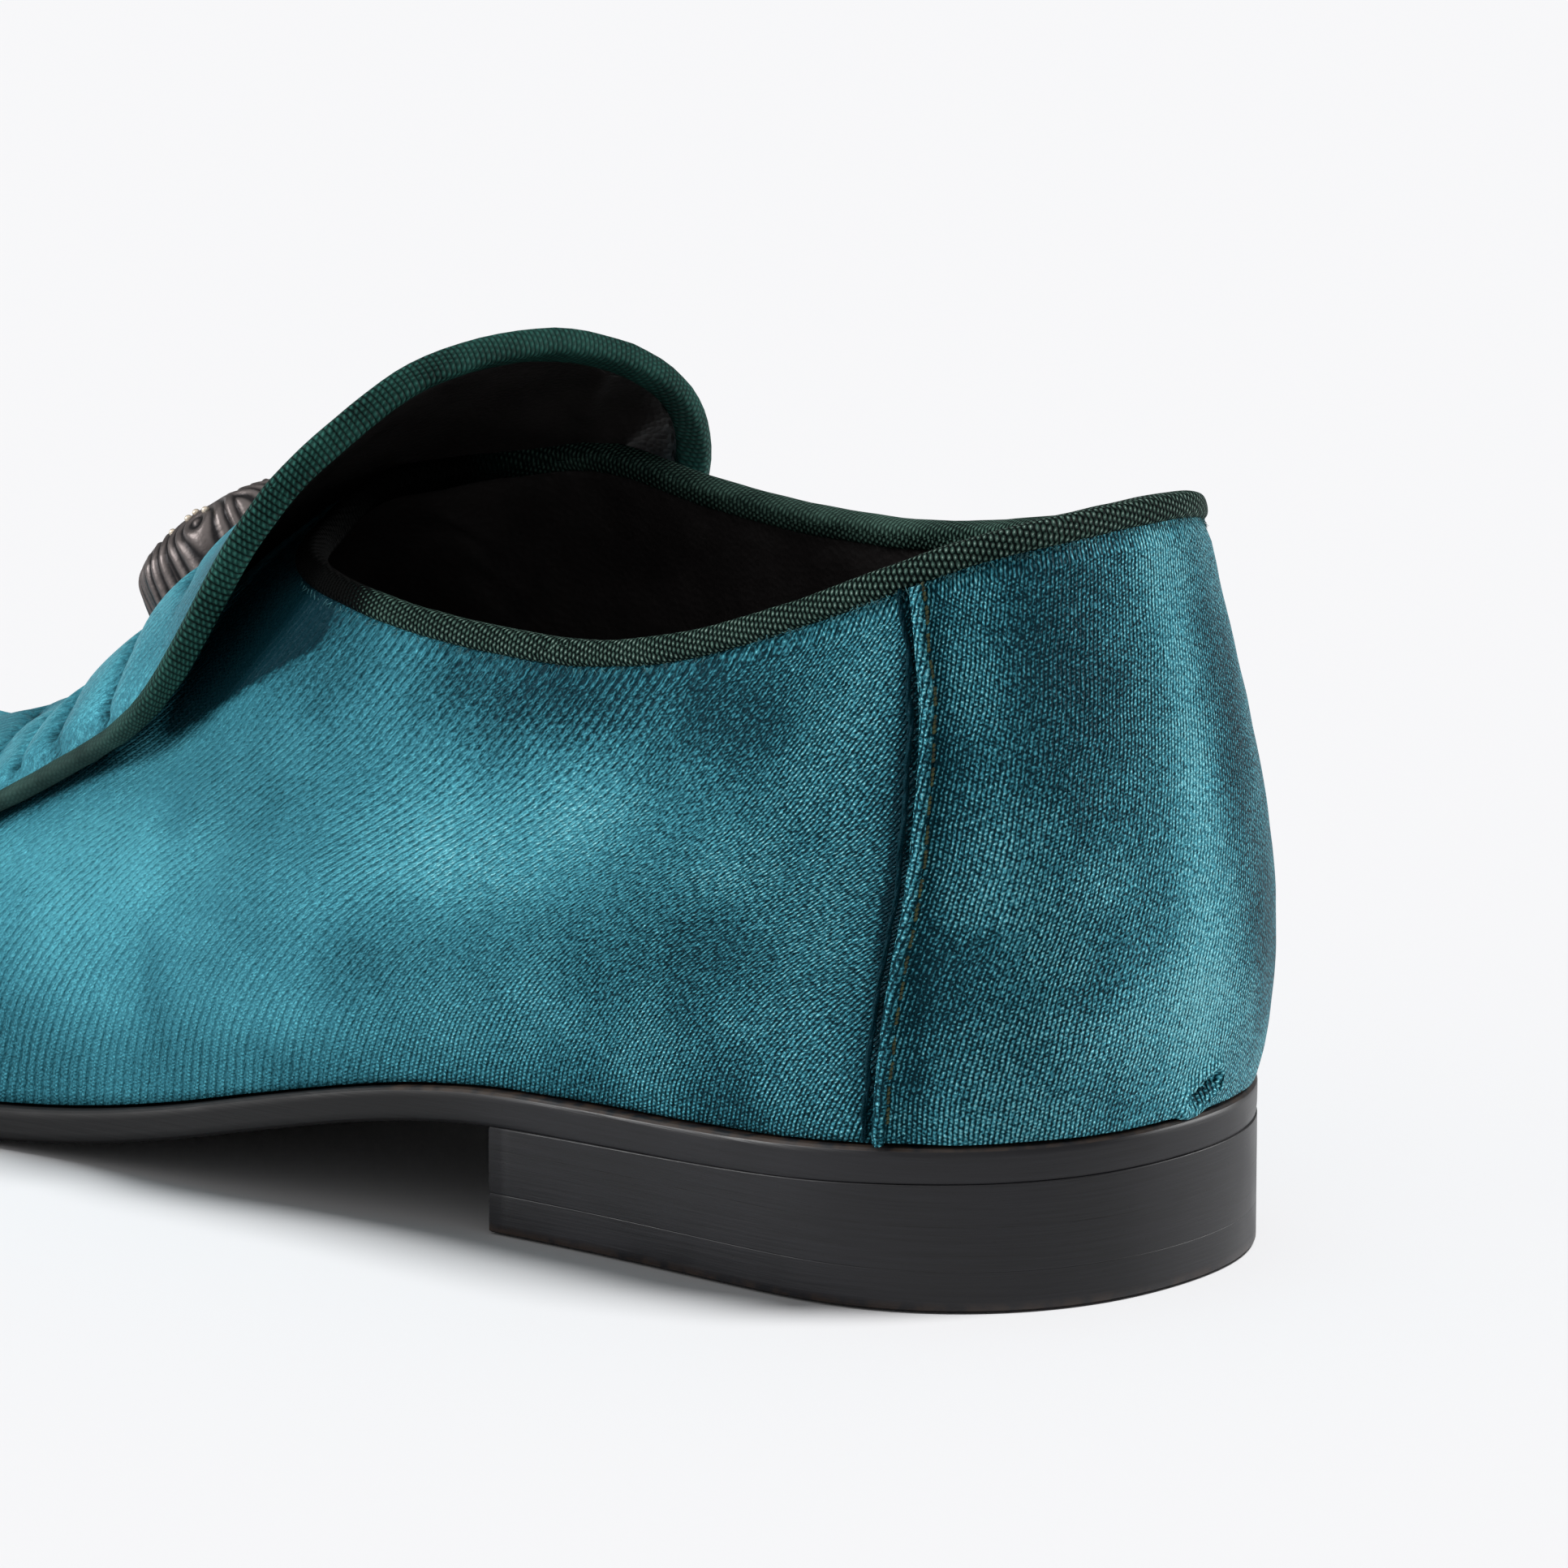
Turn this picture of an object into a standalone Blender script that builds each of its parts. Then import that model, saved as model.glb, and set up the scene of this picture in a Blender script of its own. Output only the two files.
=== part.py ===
# Velvet slipper loafer for the left foot. Metres, +Y towards the toe, +X towards the inner side of the foot,
# +Z up. The origin is on the floor, below the centre of the heel's round back.
import math

import bmesh
import bpy
import numpy as np
from mathutils import Vector
from mathutils.bvhtree import BVHTree

# Sole and heel
OUTSOLE_LENGTH = 0.296
BALL_WIDTH = 0.102
HEEL_WIDTH = 0.0635
HEEL_LENGTH = 0.0694  # from the back to the breast
HEEL_HEIGHT = 0.0140  # from the floor to the underside of the outsole, at the back
TOP_PIECE_THICKNESS = 0.0042
SOLE_THICKNESS = 0.0038
TOE_SPRING = 0.006
EDGE_ROUNDING = 0.0004
WAIST_ONSET = 4.0  # power by which the outline leaves the straight sides of the heel
ROUND_BACK = 2.2  # power of the rounded outline of the heel: 2 is an ellipse, more is squarer
ROUND_TOE = 2.15
INSOLE_THICKNESS = 0.0018

# Upper
WALL = 0.0020
CLEARANCE = 0.0003  # between neighbouring pieces
FEATHER_INSET = 0.0011  # from the edge of the outsole to the foot of the upper
BACK_HEIGHT = 0.0804
OUTER_SIDE_HEIGHT = 0.0622
INNER_SIDE_HEIGHT = 0.0672
THROAT_HEIGHT = 0.0687
VAMP_HEIGHT = 0.0300
TOE_HEIGHT = 0.0290
RIDGE_OFFSET = 0.0055  # the ridge of the vamp lies towards the inner side
RIDGE_BLEND_START = 0.030
THROAT_LEAD = 0.020  # length over which the sections ahead of the throat straighten
TOE_LENGTH = 0.0563  # of the rounded toe, back from its tip
TOE_RIDGE_SHARE = 0.4
COUNTER_THICKNESS = 0.0008

# Apron, tongue and bindings
TONGUE_THICKNESS = 0.0018
TONGUE_HEIGHT = 0.0909
APRON_LEAD = 0.008  # from the throat's section to the first one that the apron lies on
TOPLINE_TAPE_HEIGHT = 0.0027
TOPLINE_TAPE_THICKNESS = 0.0030
TONGUE_TAPE_WIDTH = 0.0042
TONGUE_TAPE_THICKNESS = 0.0030
APRON_TAPE_WIDTH = 0.0028
APRON_TAPE_THICKNESS = 0.0024
TAPE_SQUARENESS = 0.5  # power of the tape's rounded section: 1 is an ellipse, less is squarer
RIB_LOW_PULL = 0.33
RIB_HIGH_PULL = 0.34

# Ornament
ORNAMENT_LENGTH = 0.026
ORNAMENT_WIDTH = 0.021
ORNAMENT_HEIGHT = 0.0090
ORNAMENT_LEAD = 0.0155  # from the throat's section
ORNAMENT_REACH = 0.02  # clear of the apron, from where the seat is found
ORNAMENT_FLUTES = 9
ORNAMENT_FLUTE_DEPTH = 0.05  # share of the half width
ORNAMENT_DOMING = 0.36  # power of its height: 1 is round, less has steeper sides
ORNAMENT_LEAN = 0.2  # how much higher its toe end is than its middle, as a share of the height

HEEL_RADIUS = HEEL_WIDTH / 2
TOE_START = OUTSOLE_LENGTH - HEEL_RADIUS - TOE_LENGTH
OUTER, INNER = -1, 1  # the little-toe side is at -X
UP = Vector((0, 0, 1))
SHARP_ANGLE = 40


class Table:
    """Rows of shares under named columns, read by a smooth curve through the first column."""

    def __init__(self, columns, rows):
        self.columns = dict(zip(columns.split(), zip(*rows)))
        self.places = np.array(next(iter(self.columns.values())))

    def at(self, name, place):
        places, values = self.places, np.array(self.columns[name])
        place = min(max(place, places[0]), places[-1])
        i = int(np.clip(np.searchsorted(places, place) - 1, 0, len(places) - 2))
        steps, rises = np.diff(places), np.diff(values)
        slopes = rises / steps
        tangents = np.concatenate([slopes[:1], np.zeros(len(slopes) - 1), slopes[-1:]])
        for k in range(1, len(slopes)):
            if slopes[k - 1] * slopes[k] > 0:
                tangents[k] = 2 * slopes[k - 1] * slopes[k] / (slopes[k - 1] + slopes[k])
        t = (place - places[i]) / steps[i]
        start = (1 + 2 * t) * (1 - t) ** 2 * values[i] + t * (1 - t) ** 2 * steps[i] * tangents[i]
        end = t * t * (3 - 2 * t) * values[i + 1] - t * t * (1 - t) * steps[i] * tangents[i + 1]
        return float(start + end)


# Plan of the outsole: places along its length from the heel's back, and half widths as shares of the ball width.
# Behind the first row the outline blends into the heel's straight sides and round back.
OUTLINE = Table("along centre outer inner", (
    (0.280, 0.000, 0.347, 0.297),
    (0.337, 0.000, 0.374, 0.278),
    (0.395, 0.000, 0.387, 0.290),
    (0.462, 0.005, 0.415, 0.345),
    (0.550, 0.015, 0.470, 0.426),
    (0.630, 0.025, 0.506, 0.465),
    (0.700, 0.034, 0.495, 0.462),
    (0.780, 0.044, 0.452, 0.428),
    (0.860, 0.054, 0.405, 0.390),
    (0.935, 0.060, 0.355, 0.345),
    (1.000, 0.064, 0.305, 0.300),
))

# Height of the outsole's underside: a share of the heel's height, then a share of the toe spring.
UNDERSIDE = Table("along heel toe", (
    (0.000, 1.000, 0.00),
    (0.046, 0.982, 0.00),
    (0.107, 0.912, 0.00),
    (0.151, 0.870, 0.00),
    (0.237, 0.840, 0.00),
    (0.280, 0.754, 0.00),
    (0.337, 0.505, 0.00),
    (0.395, 0.218, 0.00),
    (0.460, 0.031, 0.00),
    (0.500, 0.000, 0.00),
    (0.700, 0.000, 0.00),
    (0.800, 0.000, 0.12),
    (0.900, 0.000, 0.48),
    (1.000, 0.000, 1.00),
))

# Sections of the quarters, from the heel's back to the throat. along: place of the section's foot. out: how far
# out its top lies, as a share of its foot. shift: how far the top lies ahead of the foot. back, side: shares of
# the back and side heights, and the rest is the throat's. leans in degrees, pulls as shares of the section's size.
SECTION_COLUMNS = "along out shift back side low_lean low_pull top_lean top_pull"
OUTER_QUARTER = Table(SECTION_COLUMNS, (
    (0.004, 0.785, 0.0170, 1.000, 0.000, 14, 0.36, 11, 0.33),
    (0.033, 0.785, 0.0125, 0.865, 0.135, 15, 0.36, 11, 0.33),
    (0.061, 0.800, 0.0067, 0.700, 0.300, 15, 0.36, 12, 0.33),
    (0.107, 0.850, 0.0000, 0.430, 0.570, 17, 0.36, 13, 0.33),
    (0.161, 0.912, 0.0000, 0.125, 0.875, 18, 0.36, 14, 0.33),
    (0.215, 0.918, 0.0000, 0.000, 1.000, 17, 0.36, 15, 0.33),
    (0.263, 0.887, 0.0000, 0.000, 0.920, 15, 0.36, 18, 0.33),
    (0.300, 0.843, 0.0017, 0.000, 0.740, 13, 0.37, 23, 0.33),
    (0.334, 0.764, 0.0034, 0.000, 0.520, 11, 0.38, 32, 0.33),
    (0.364, 0.620, 0.0034, 0.000, 0.460, 10, 0.38, 44, 0.33),
    (0.391, 0.424, 0.0010, 0.000, 0.385, 9, 0.38, 58, 0.33),
    (0.411, 0.225, -0.0014, 0.000, 0.215, 8, 0.38, 74, 0.32),
    (0.428, 0.000, -0.0101, 0.000, 0.000, 8, 0.38, 90, 0.31),
))
INNER_QUARTER = Table(SECTION_COLUMNS, (
    (0.004, 0.785, 0.0170, 1.000, 0.000, 14, 0.36, 11, 0.33),
    (0.033, 0.785, 0.0125, 0.755, 0.245, 15, 0.36, 11, 0.33),
    (0.061, 0.800, 0.0067, 0.615, 0.385, 15, 0.36, 12, 0.33),
    (0.107, 0.850, 0.0000, 0.400, 0.600, 17, 0.36, 13, 0.33),
    (0.161, 0.928, 0.0000, 0.148, 0.852, 18, 0.36, 14, 0.33),
    (0.215, 0.955, 0.0000, 0.000, 1.000, 20, 0.36, 15, 0.33),
    (0.263, 0.975, 0.0000, 0.000, 0.910, 24, 0.36, 17, 0.33),
    (0.300, 1.017, 0.0017, 0.000, 0.140, 23, 0.37, 20, 0.33),
    (0.334, 1.039, 0.0068, 0.000, -0.500, 21, 0.38, 24, 0.33),
    (0.364, 0.938, 0.0101, 0.000, 0.150, 18, 0.38, 32, 0.33),
    (0.391, 0.660, 0.0095, 0.000, 1.000, 15, 0.38, 50, 0.33),
    (0.411, 0.289, 0.0034, 0.000, 0.950, 12, 0.38, 74, 0.32),
    (0.428, 0.000, -0.0101, 0.000, 0.000, 8, 0.38, 90, 0.31),
))

# Sections of the vamp, from the throat to the toe. seams: where on the section the apron's edge lies, 0 at its foot.
VAMP = Table("along low_lean low_pull top_pull outer_seam inner_seam", (
    (0.428, 8, 0.38, 0.30, 0.45, 0.35),
    (0.475, 8, 0.37, 0.29, 0.45, 0.365),
    (0.550, 8, 0.36, 0.29, 0.44, 0.395),
    (0.630, 10, 0.34, 0.33, 0.44, 0.425),
    (0.780, 12, 0.35, 0.38, 0.45, 0.45),
    (0.900, 14, 0.40, 0.46, 0.51, 0.51),
    (1.000, 13, 0.42, 0.46, 0.58, 0.58),
))

# Ridge of the vamp: shares of the throat's and the vamp's height, and the rest is the toe's.
RIDGE = Table("along throat vamp", (
    (0.420, 1.000, 0.000),
    (0.445, 0.866, 0.134),
    (0.469, 0.687, 0.313),
    (0.496, 0.510, 0.490),
    (0.519, 0.362, 0.638),
    (0.543, 0.242, 0.758),
    (0.580, 0.172, 0.828),
    (0.614, 0.070, 0.930),
    (0.636, 0.020, 0.980),
    (0.660, 0.000, 1.000),
    (0.720, 0.000, 0.850),
    (0.783, 0.000, 0.500),
    (0.867, 0.000, 0.000),
))

# Ribs of the free tongue, from where it leaves the vamp round to the middle of its rim. x is a share of the ball
# width, along of the outsole's length, z of the tongue's height. rise: how upright the rib starts. swing: the
# rib's direction at the spine, 0 sideways and 90 straight back.
TONGUE_COLUMNS = "step x along z spine spine_z rise swing"
OUTER_TONGUE = Table(TONGUE_COLUMNS, (
    (0, -0.328, 0.4181, 0.512, 0.4383, 0.7536, 0.60, 0),
    (1, -0.338, 0.3945, 0.572, 0.4214, 0.7987, 0.75, 0),
    (2, -0.326, 0.3792, 0.660, 0.4079, 0.8317, 0.75, 0),
    (3, -0.309, 0.3657, 0.754, 0.3961, 0.8581, 0.62, 10),
    (4, -0.281, 0.3522, 0.836, 0.3877, 0.8768, 0.45, 25),
    (5, -0.236, 0.3421, 0.894, 0.3826, 0.8878, 0.28, 42),
    (6, -0.167, 0.3320, 0.961, 0.3796, 0.8944, 0.15, 58),
    (7, -0.078, 0.3255, 0.993, 0.3775, 0.8977, 0.05, 75),
    (8, 0.049, 0.3221, 1.000, 0.3775, 0.8977, 0.00, 90),
))
INNER_TONGUE = Table(TONGUE_COLUMNS, (
    (0, 0.362, 0.4140, 0.500, 0.4383, 0.7536, 0.60, 0),
    (1, 0.366, 0.3850, 0.567, 0.4214, 0.7987, 0.75, 0),
    (2, 0.358, 0.3600, 0.644, 0.4079, 0.8317, 0.75, 0),
    (3, 0.343, 0.3390, 0.726, 0.3961, 0.8581, 0.70, 10),
    (4, 0.322, 0.3265, 0.801, 0.3877, 0.8768, 0.55, 25),
    (5, 0.288, 0.3190, 0.866, 0.3826, 0.8878, 0.35, 42),
    (6, 0.229, 0.3170, 0.930, 0.3796, 0.8944, 0.15, 58),
    (7, 0.144, 0.3200, 0.975, 0.3775, 0.8977, 0.05, 75),
    (8, 0.049, 0.3221, 1.000, 0.3775, 0.8977, 0.00, 90),
))

# Front seam of the heel counter: its angle round the heel from the back, in degrees, up the section.
COUNTER_SEAM = Table("up angle", ((0.0, 64), (0.25, 61), (0.5, 57), (0.75, 56), (1.0, 61)))

# Numbers of mesh steps
HEEL_STEPS = 8
COUNTER_STEPS = 5
QUARTER_STEPS = 12
VAMP_STEPS = 10
TOE_STEPS = 7
LOW_ROWS = 6
TOP_ROWS = 6
TONGUE_STEPS = 8
TAPE_SIDES = 10
COUNTER_BLEND_STEPS = 3
TAPE_WIDENING_STEPS = 2
CURVE_STEP = 0.005  # share of a section's curve by which its length is measured
MERGE_DISTANCE = 0.000001
FLUTE_STEPS = 4
ORNAMENT_RINGS = 14


def share_of_length(y):
    return (y + HEEL_RADIUS) / OUTSOLE_LENGTH


def place_of_share(share):
    return share * OUTSOLE_LENGTH - HEEL_RADIUS


THROAT_POSITION = place_of_share(OUTER_QUARTER.places[-1])  # of the foot of the section that meets the throat


def smooth_step(t):
    t = min(max(t, 0.0), 1.0)
    return t * t * (3 - 2 * t)


def sole_half_width(side, y, inset):
    """Distance of the outline from the centre line, moved in by inset."""
    along = share_of_length(y)
    first = OUTLINE.places[0]
    if along < first:
        table = OUTLINE.at("outer" if side == OUTER else "inner", first) * BALL_WIDTH
        blend = max(0.0, y / place_of_share(first)) ** WAIST_ONSET
        width = HEEL_RADIUS + (table - HEEL_RADIUS) * blend
    else:
        width = OUTLINE.at("outer" if side == OUTER else "inner", along) * BALL_WIDTH
    width -= inset
    toe_end = OUTSOLE_LENGTH - HEEL_RADIUS - inset
    if y < 0:
        width *= max(0.0, 1 - (-y / (HEEL_RADIUS - inset)) ** ROUND_BACK) ** (1 / ROUND_BACK)
    if y > TOE_START:
        width *= max(0.0, 1 - ((y - TOE_START) / (toe_end - TOE_START)) ** ROUND_TOE) ** (1 / ROUND_TOE)
    return width


def outline_point(side, y, inset):
    centre = OUTLINE.at("centre", share_of_length(y)) * BALL_WIDTH
    return Vector((centre + side * sole_half_width(side, y, inset), y, 0))


def underside(y):
    along = share_of_length(y)
    return UNDERSIDE.at("heel", along) * HEEL_HEIGHT + UNDERSIDE.at("toe", along) * TOE_SPRING


def sole_top(y):
    return underside(y) + SOLE_THICKNESS


def outline_places(inset):
    """Places along the outline from the heel's back to the toe's tip, close together where it turns."""
    heel_end = HEEL_RADIUS - inset
    toe_end = OUTSOLE_LENGTH - HEEL_RADIUS - inset
    heel = [-heel_end * math.cos(math.pi / 2 * i / HEEL_STEPS) ** (2 / ROUND_BACK) for i in range(HEEL_STEPS)]
    quarter = list(np.linspace(0, THROAT_POSITION, QUARTER_STEPS, endpoint=False))
    vamp = list(np.linspace(THROAT_POSITION, TOE_START, VAMP_STEPS, endpoint=False))
    toe = [TOE_START + (toe_end - TOE_START) * math.sin(math.pi / 2 * i / TOE_STEPS) for i in range(TOE_STEPS + 1)]
    return heel + quarter + vamp + toe


def bezier(p0, p1, p2, p3, t):
    return p0 * (1 - t) ** 3 + p1 * 3 * t * (1 - t) ** 2 + p2 * 3 * t * t * (1 - t) + p3 * t**3


def ridge_height(y):
    along = share_of_length(y)
    throat, vamp = RIDGE.at("throat", along), RIDGE.at("vamp", along)
    return throat * THROAT_HEIGHT + vamp * VAMP_HEIGHT + (1 - throat - vamp) * TOE_HEIGHT


def section_curve(side, y):
    """The four control points of the upper's section whose foot is at y."""
    foot = outline_point(side, y, FEATHER_INSET)
    foot.z = sole_top(y) + CLEARANCE
    along = share_of_length(y)
    outward = Vector((side, 0, 0))
    if y < 0:
        outward = Vector((foot.x, foot.y, 0)).normalized()
    if y <= THROAT_POSITION:
        table = OUTER_QUARTER if side == OUTER else INNER_QUARTER
        middle = RIDGE_OFFSET * smooth_step((y - RIDGE_BLEND_START) / (THROAT_POSITION - RIDGE_BLEND_START))
        side_height = OUTER_SIDE_HEIGHT if side == OUTER else INNER_SIDE_HEIGHT
        back, flank = table.at("back", along), table.at("side", along)
        top = Vector((
            middle + (foot.x - middle) * table.at("out", along),
            y + table.at("shift", along) * OUTSOLE_LENGTH,
            back * BACK_HEIGHT + flank * side_height + (1 - back - flank) * THROAT_HEIGHT,
        ))
        top_lean = math.radians(table.at("top_lean", along))
    else:
        table = VAMP
        top_y = y if y < TOE_START else TOE_START + (y - TOE_START) * TOE_RIDGE_SHARE
        fading = 1 - smooth_step((y - THROAT_POSITION) / THROAT_LEAD)
        lead = OUTER_QUARTER.columns["shift"][-1] * OUTSOLE_LENGTH * fading
        top = Vector((RIDGE_OFFSET, top_y + lead, 0))
        top.z = ridge_height(top.y)
        top_lean = math.pi / 2
        if y > TOE_START:
            outward = Vector((foot.x - top.x, foot.y - top.y, 0)).normalized()
    low_lean = math.radians(table.at("low_lean", along))
    reach = (top - foot).length
    low = foot + (outward * math.sin(low_lean) + UP * math.cos(low_lean)) * reach * table.at("low_pull", along)
    high = top + (outward * math.sin(top_lean) - UP * math.cos(top_lean)) * reach * table.at("top_pull", along)
    return foot, low, high, top


def arc_share(curve, start, distance):
    """The parameter that lies this distance up the curve from the one given."""
    t, gone = start, 0.0
    point = bezier(*curve, t)
    while gone < distance and t < 1:
        t += CURVE_STEP
        after = bezier(*curve, t)
        gone += (after - point).length
        point = after
    return t


def section_rows(side, y):
    """Parameters of the upper's rows on this section: up to the apron's seam, then from its tape's inner edge."""
    seam = VAMP.at("outer_seam" if side == OUTER else "inner_seam", share_of_length(y))
    inner = arc_share(section_curve(side, y), seam, APRON_TAPE_WIDTH + CLEARANCE)
    return list(np.linspace(0, seam, LOW_ROWS + 1)) + list(np.linspace(inner, 1, TOP_ROWS + 1))


def heel_place(angle, inset):
    return -(HEEL_RADIUS - inset) * max(0.0, math.cos(angle)) ** (2 / ROUND_BACK)


def skin_point(side, index, row):
    """Point of the upper's outer face on a station of the outline, at a row. Heel stations follow the seam."""
    y = STATIONS[index]
    t = section_rows(side, y)[row]
    if index <= HEEL_STEPS:
        seam = COUNTER_SEAM.at("angle", t)
        if index <= COUNTER_STEPS:
            angle = seam * index / COUNTER_STEPS
        else:
            angle = seam + (90 - seam) * (index - COUNTER_STEPS) / (HEEL_STEPS - COUNTER_STEPS)
        y = heel_place(math.radians(angle), FEATHER_INSET) if angle < 90 else 0.0
    return bezier(*section_curve(side, y), t)


STATIONS = outline_places(FEATHER_INSET)
THROAT_INDEX = HEEL_STEPS + QUARTER_STEPS
ROWS = LOW_ROWS + TOP_ROWS + 2


class Skin:
    """The upper's outer face as an open mesh, with its points found by side, station and row."""

    def __init__(self):
        self.mesh = bmesh.new()
        self.points = {}
        last = len(STATIONS) - 1
        for side in (OUTER, INNER):
            for index in range(last + 1):
                for row in range(ROWS):
                    shared = index in (0, last) or (row == ROWS - 1 and index >= THROAT_INDEX)
                    if shared and side == INNER:
                        self.points[side, index, row] = self.points[OUTER, index, row]
                    else:
                        self.points[side, index, row] = self.mesh.verts.new(skin_point(side, index, row))
        for side in (OUTER, INNER):
            for index in range(last):
                for row in range(ROWS - 1):
                    corners = [(index, row), (index + 1, row), (index + 1, row + 1), (index, row + 1)]
                    if side == OUTER:
                        corners.reverse()
                    self.mesh.faces.new([self.points[side, i, r] for i, r in corners])
        self.mesh.normal_update()

    def lifted(self, side, index, row, height):
        vertex = self.points[side, index, row]
        return vertex.co + vertex.normal * height


def make_material(name, color, roughness, metallic=0.0):
    material = bpy.data.materials.new(name)
    material.use_nodes = True
    shader = material.node_tree.nodes["Principled BSDF"]
    shader.inputs["Base Color"].default_value = (*color, 1)
    shader.inputs["Roughness"].default_value = roughness
    shader.inputs["Metallic"].default_value = metallic
    return material


def add_object(name, mesh, material, collection):
    bmesh.ops.recalc_face_normals(mesh, faces=mesh.faces[:])
    data = bpy.data.meshes.new(name)
    mesh.to_mesh(data)
    mesh.free()
    data.materials.append(material)
    data.shade_smooth()
    data.set_sharp_from_angle(angle=math.radians(SHARP_ANGLE))
    result = bpy.data.objects.new(name, data)
    collection.objects.link(result)
    return result


def loft_rings(rings):
    """Side walls through rings with equally many points, and the rings, whose ends are still open."""
    mesh = bmesh.new()
    loops = [[mesh.verts.new(point) for point in ring] for ring in rings]
    for lower, upper in zip(loops, loops[1:]):
        for i in range(len(lower)):
            j = (i + 1) % len(lower)
            mesh.faces.new((lower[i], lower[j], upper[j], upper[i]))
    return mesh, loops


def fill_across(mesh, loop):
    """Closes a ring that is its own mirror in index with strips from side to side."""
    count = len(loop)
    mesh.faces.new((loop[0], loop[1], loop[-1]))
    for i in range(1, count // 2 - 1):
        mesh.faces.new((loop[i], loop[i + 1], loop[count - i - 1], loop[count - i]))
    mesh.faces.new((loop[count // 2 - 1], loop[count // 2], loop[count // 2 + 1]))


def outline_ring(inset, height, places=None):
    """The outline as a ring of points from the heel's back, up the outer side and back down the inner one."""
    base = outline_places(0)
    places = places or [y * (1 - inset / HEEL_RADIUS) if y < 0 else y for y in base]
    toe_end = OUTSOLE_LENGTH - HEEL_RADIUS
    scale = (toe_end - inset - TOE_START) / (toe_end - TOE_START)
    places = [TOE_START + (y - TOE_START) * scale if y > TOE_START else y for y in places]
    outer = [outline_point(OUTER, y, inset) for y in places]
    inner = [outline_point(INNER, y, inset) for y in places[1:-1]]
    ring = outer + inner[::-1]
    for point in ring:
        point.z = height(point.y)
    return ring


def make_slab(inset, bottom, top, rounding):
    """A flat piece between two heights over the outline, with its edges rounded."""
    mesh, loops = loft_rings([
        outline_ring(inset + rounding, bottom),
        outline_ring(inset, lambda y: bottom(y) + rounding),
        outline_ring(inset, lambda y: top(y) - rounding),
        outline_ring(inset + rounding, top),
    ])
    fill_across(mesh, loops[0])
    fill_across(mesh, loops[-1])
    return mesh


def heel_ring(inset, height):
    """The heel's outline, which is the outsole's up to the straight breast."""
    breast = HEEL_LENGTH - HEEL_RADIUS - inset
    places = [y * (1 - inset / HEEL_RADIUS) for y in outline_places(0) if y < 0]
    places += list(np.linspace(0, breast, HEEL_STEPS // 2))
    outer = [outline_point(OUTER, y, inset) for y in places]
    inner = [outline_point(INNER, y, inset) for y in places[1:]]
    ring = outer + inner[::-1]
    for point in ring:
        point.z = height(point.y)
    return ring


def make_heel_layer(bottom, top, rounding):
    mesh, loops = loft_rings([
        heel_ring(rounding, bottom),
        heel_ring(0, lambda y: bottom(y) + rounding),
        heel_ring(0, lambda y: top(y) - rounding),
        heel_ring(rounding, top),
    ])
    for loop in (loops[0], loops[-1]):
        count = len(loop)
        mesh.faces.new((loop[0], loop[1], loop[-1]))
        for i in range(1, count // 2):
            mesh.faces.new((loop[i], loop[i + 1], loop[count - i - 1], loop[count - i]))
    return mesh


def give_wall(result, thickness):
    """Thickens an open face inwards."""
    wall = result.modifiers.new("wall", "SOLIDIFY")
    wall.thickness = thickness
    wall.offset = -1
    wall.use_even_offset = True
    wall.use_quality_normals = True


def make_grid(columns):
    """An open mesh from columns of points. Points that coincide become one."""
    mesh = bmesh.new()
    loops = [[mesh.verts.new(point) for point in column] for column in columns]
    for left, right in zip(loops, loops[1:]):
        for low in range(len(left) - 1):
            mesh.faces.new((left[low], right[low], right[low + 1], left[low + 1]))
    bmesh.ops.remove_doubles(mesh, verts=mesh.verts[:], dist=MERGE_DISTANCE)
    return mesh


def make_counter(skin):
    columns = []
    height = CLEARANCE + COUNTER_THICKNESS
    for side, indices in ((OUTER, range(COUNTER_STEPS, 0, -1)), (INNER, range(0, COUNTER_STEPS + 1))):
        for index in indices:
            column = [skin.lifted(side, index, row, height) for row in range(ROWS)]
            column[0] = column[0] + UP * CLEARANCE
            columns.append(column)
    return make_grid(columns)


def tongue_rib(side, step):
    """The control points of one rib of the free tongue, from its edge to its spine."""
    table = OUTER_TONGUE if side == OUTER else INNER_TONGUE
    edge = Vector((
        table.at("x", step) * BALL_WIDTH,
        place_of_share(table.at("along", step)),
        table.at("z", step) * TONGUE_HEIGHT,
    ))
    spine = Vector((
        RIDGE_OFFSET,
        place_of_share(table.at("spine", step)),
        table.at("spine_z", step) * TONGUE_HEIGHT,
    ))
    spine_rise = (table.at("spine_z", TONGUE_STEPS) - table.at("spine_z", 0)) * TONGUE_HEIGHT
    spine_run = (table.at("spine", TONGUE_STEPS) - table.at("spine", 0)) * OUTSOLE_LENGTH
    back = Vector((0, spine_run, spine_rise)).normalized()
    swing = math.radians(table.at("swing", step))
    reach = (spine - edge).length
    high = spine + (Vector((side, 0, 0)) * math.cos(swing) + back * math.sin(swing)) * reach * RIB_HIGH_PULL
    rise = table.at("rise", step)
    start = ((high - edge).normalized() * (1 - rise) + UP * rise).normalized()
    return edge, edge + start * reach * RIB_LOW_PULL, high, spine


def apron_column(skin, side, index):
    """Points of the apron's outer face over one station of the upper, from its edge to its spine."""
    height = CLEARANCE + TONGUE_THICKNESS
    return [skin.lifted(side, index, row, height) for row in range(LOW_ROWS, ROWS)]


def tape_size(widening):
    """Width and thickness of the tape, from the apron's, at 0, to the free tongue's, at 1."""
    width = APRON_TAPE_WIDTH + (TONGUE_TAPE_WIDTH - APRON_TAPE_WIDTH) * widening
    return width, APRON_TAPE_THICKNESS + (TONGUE_TAPE_THICKNESS - APRON_TAPE_THICKNESS) * widening


def tape_widening(step):
    return 0.0 if step is None else smooth_step(step / TAPE_WIDENING_STEPS)


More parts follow.
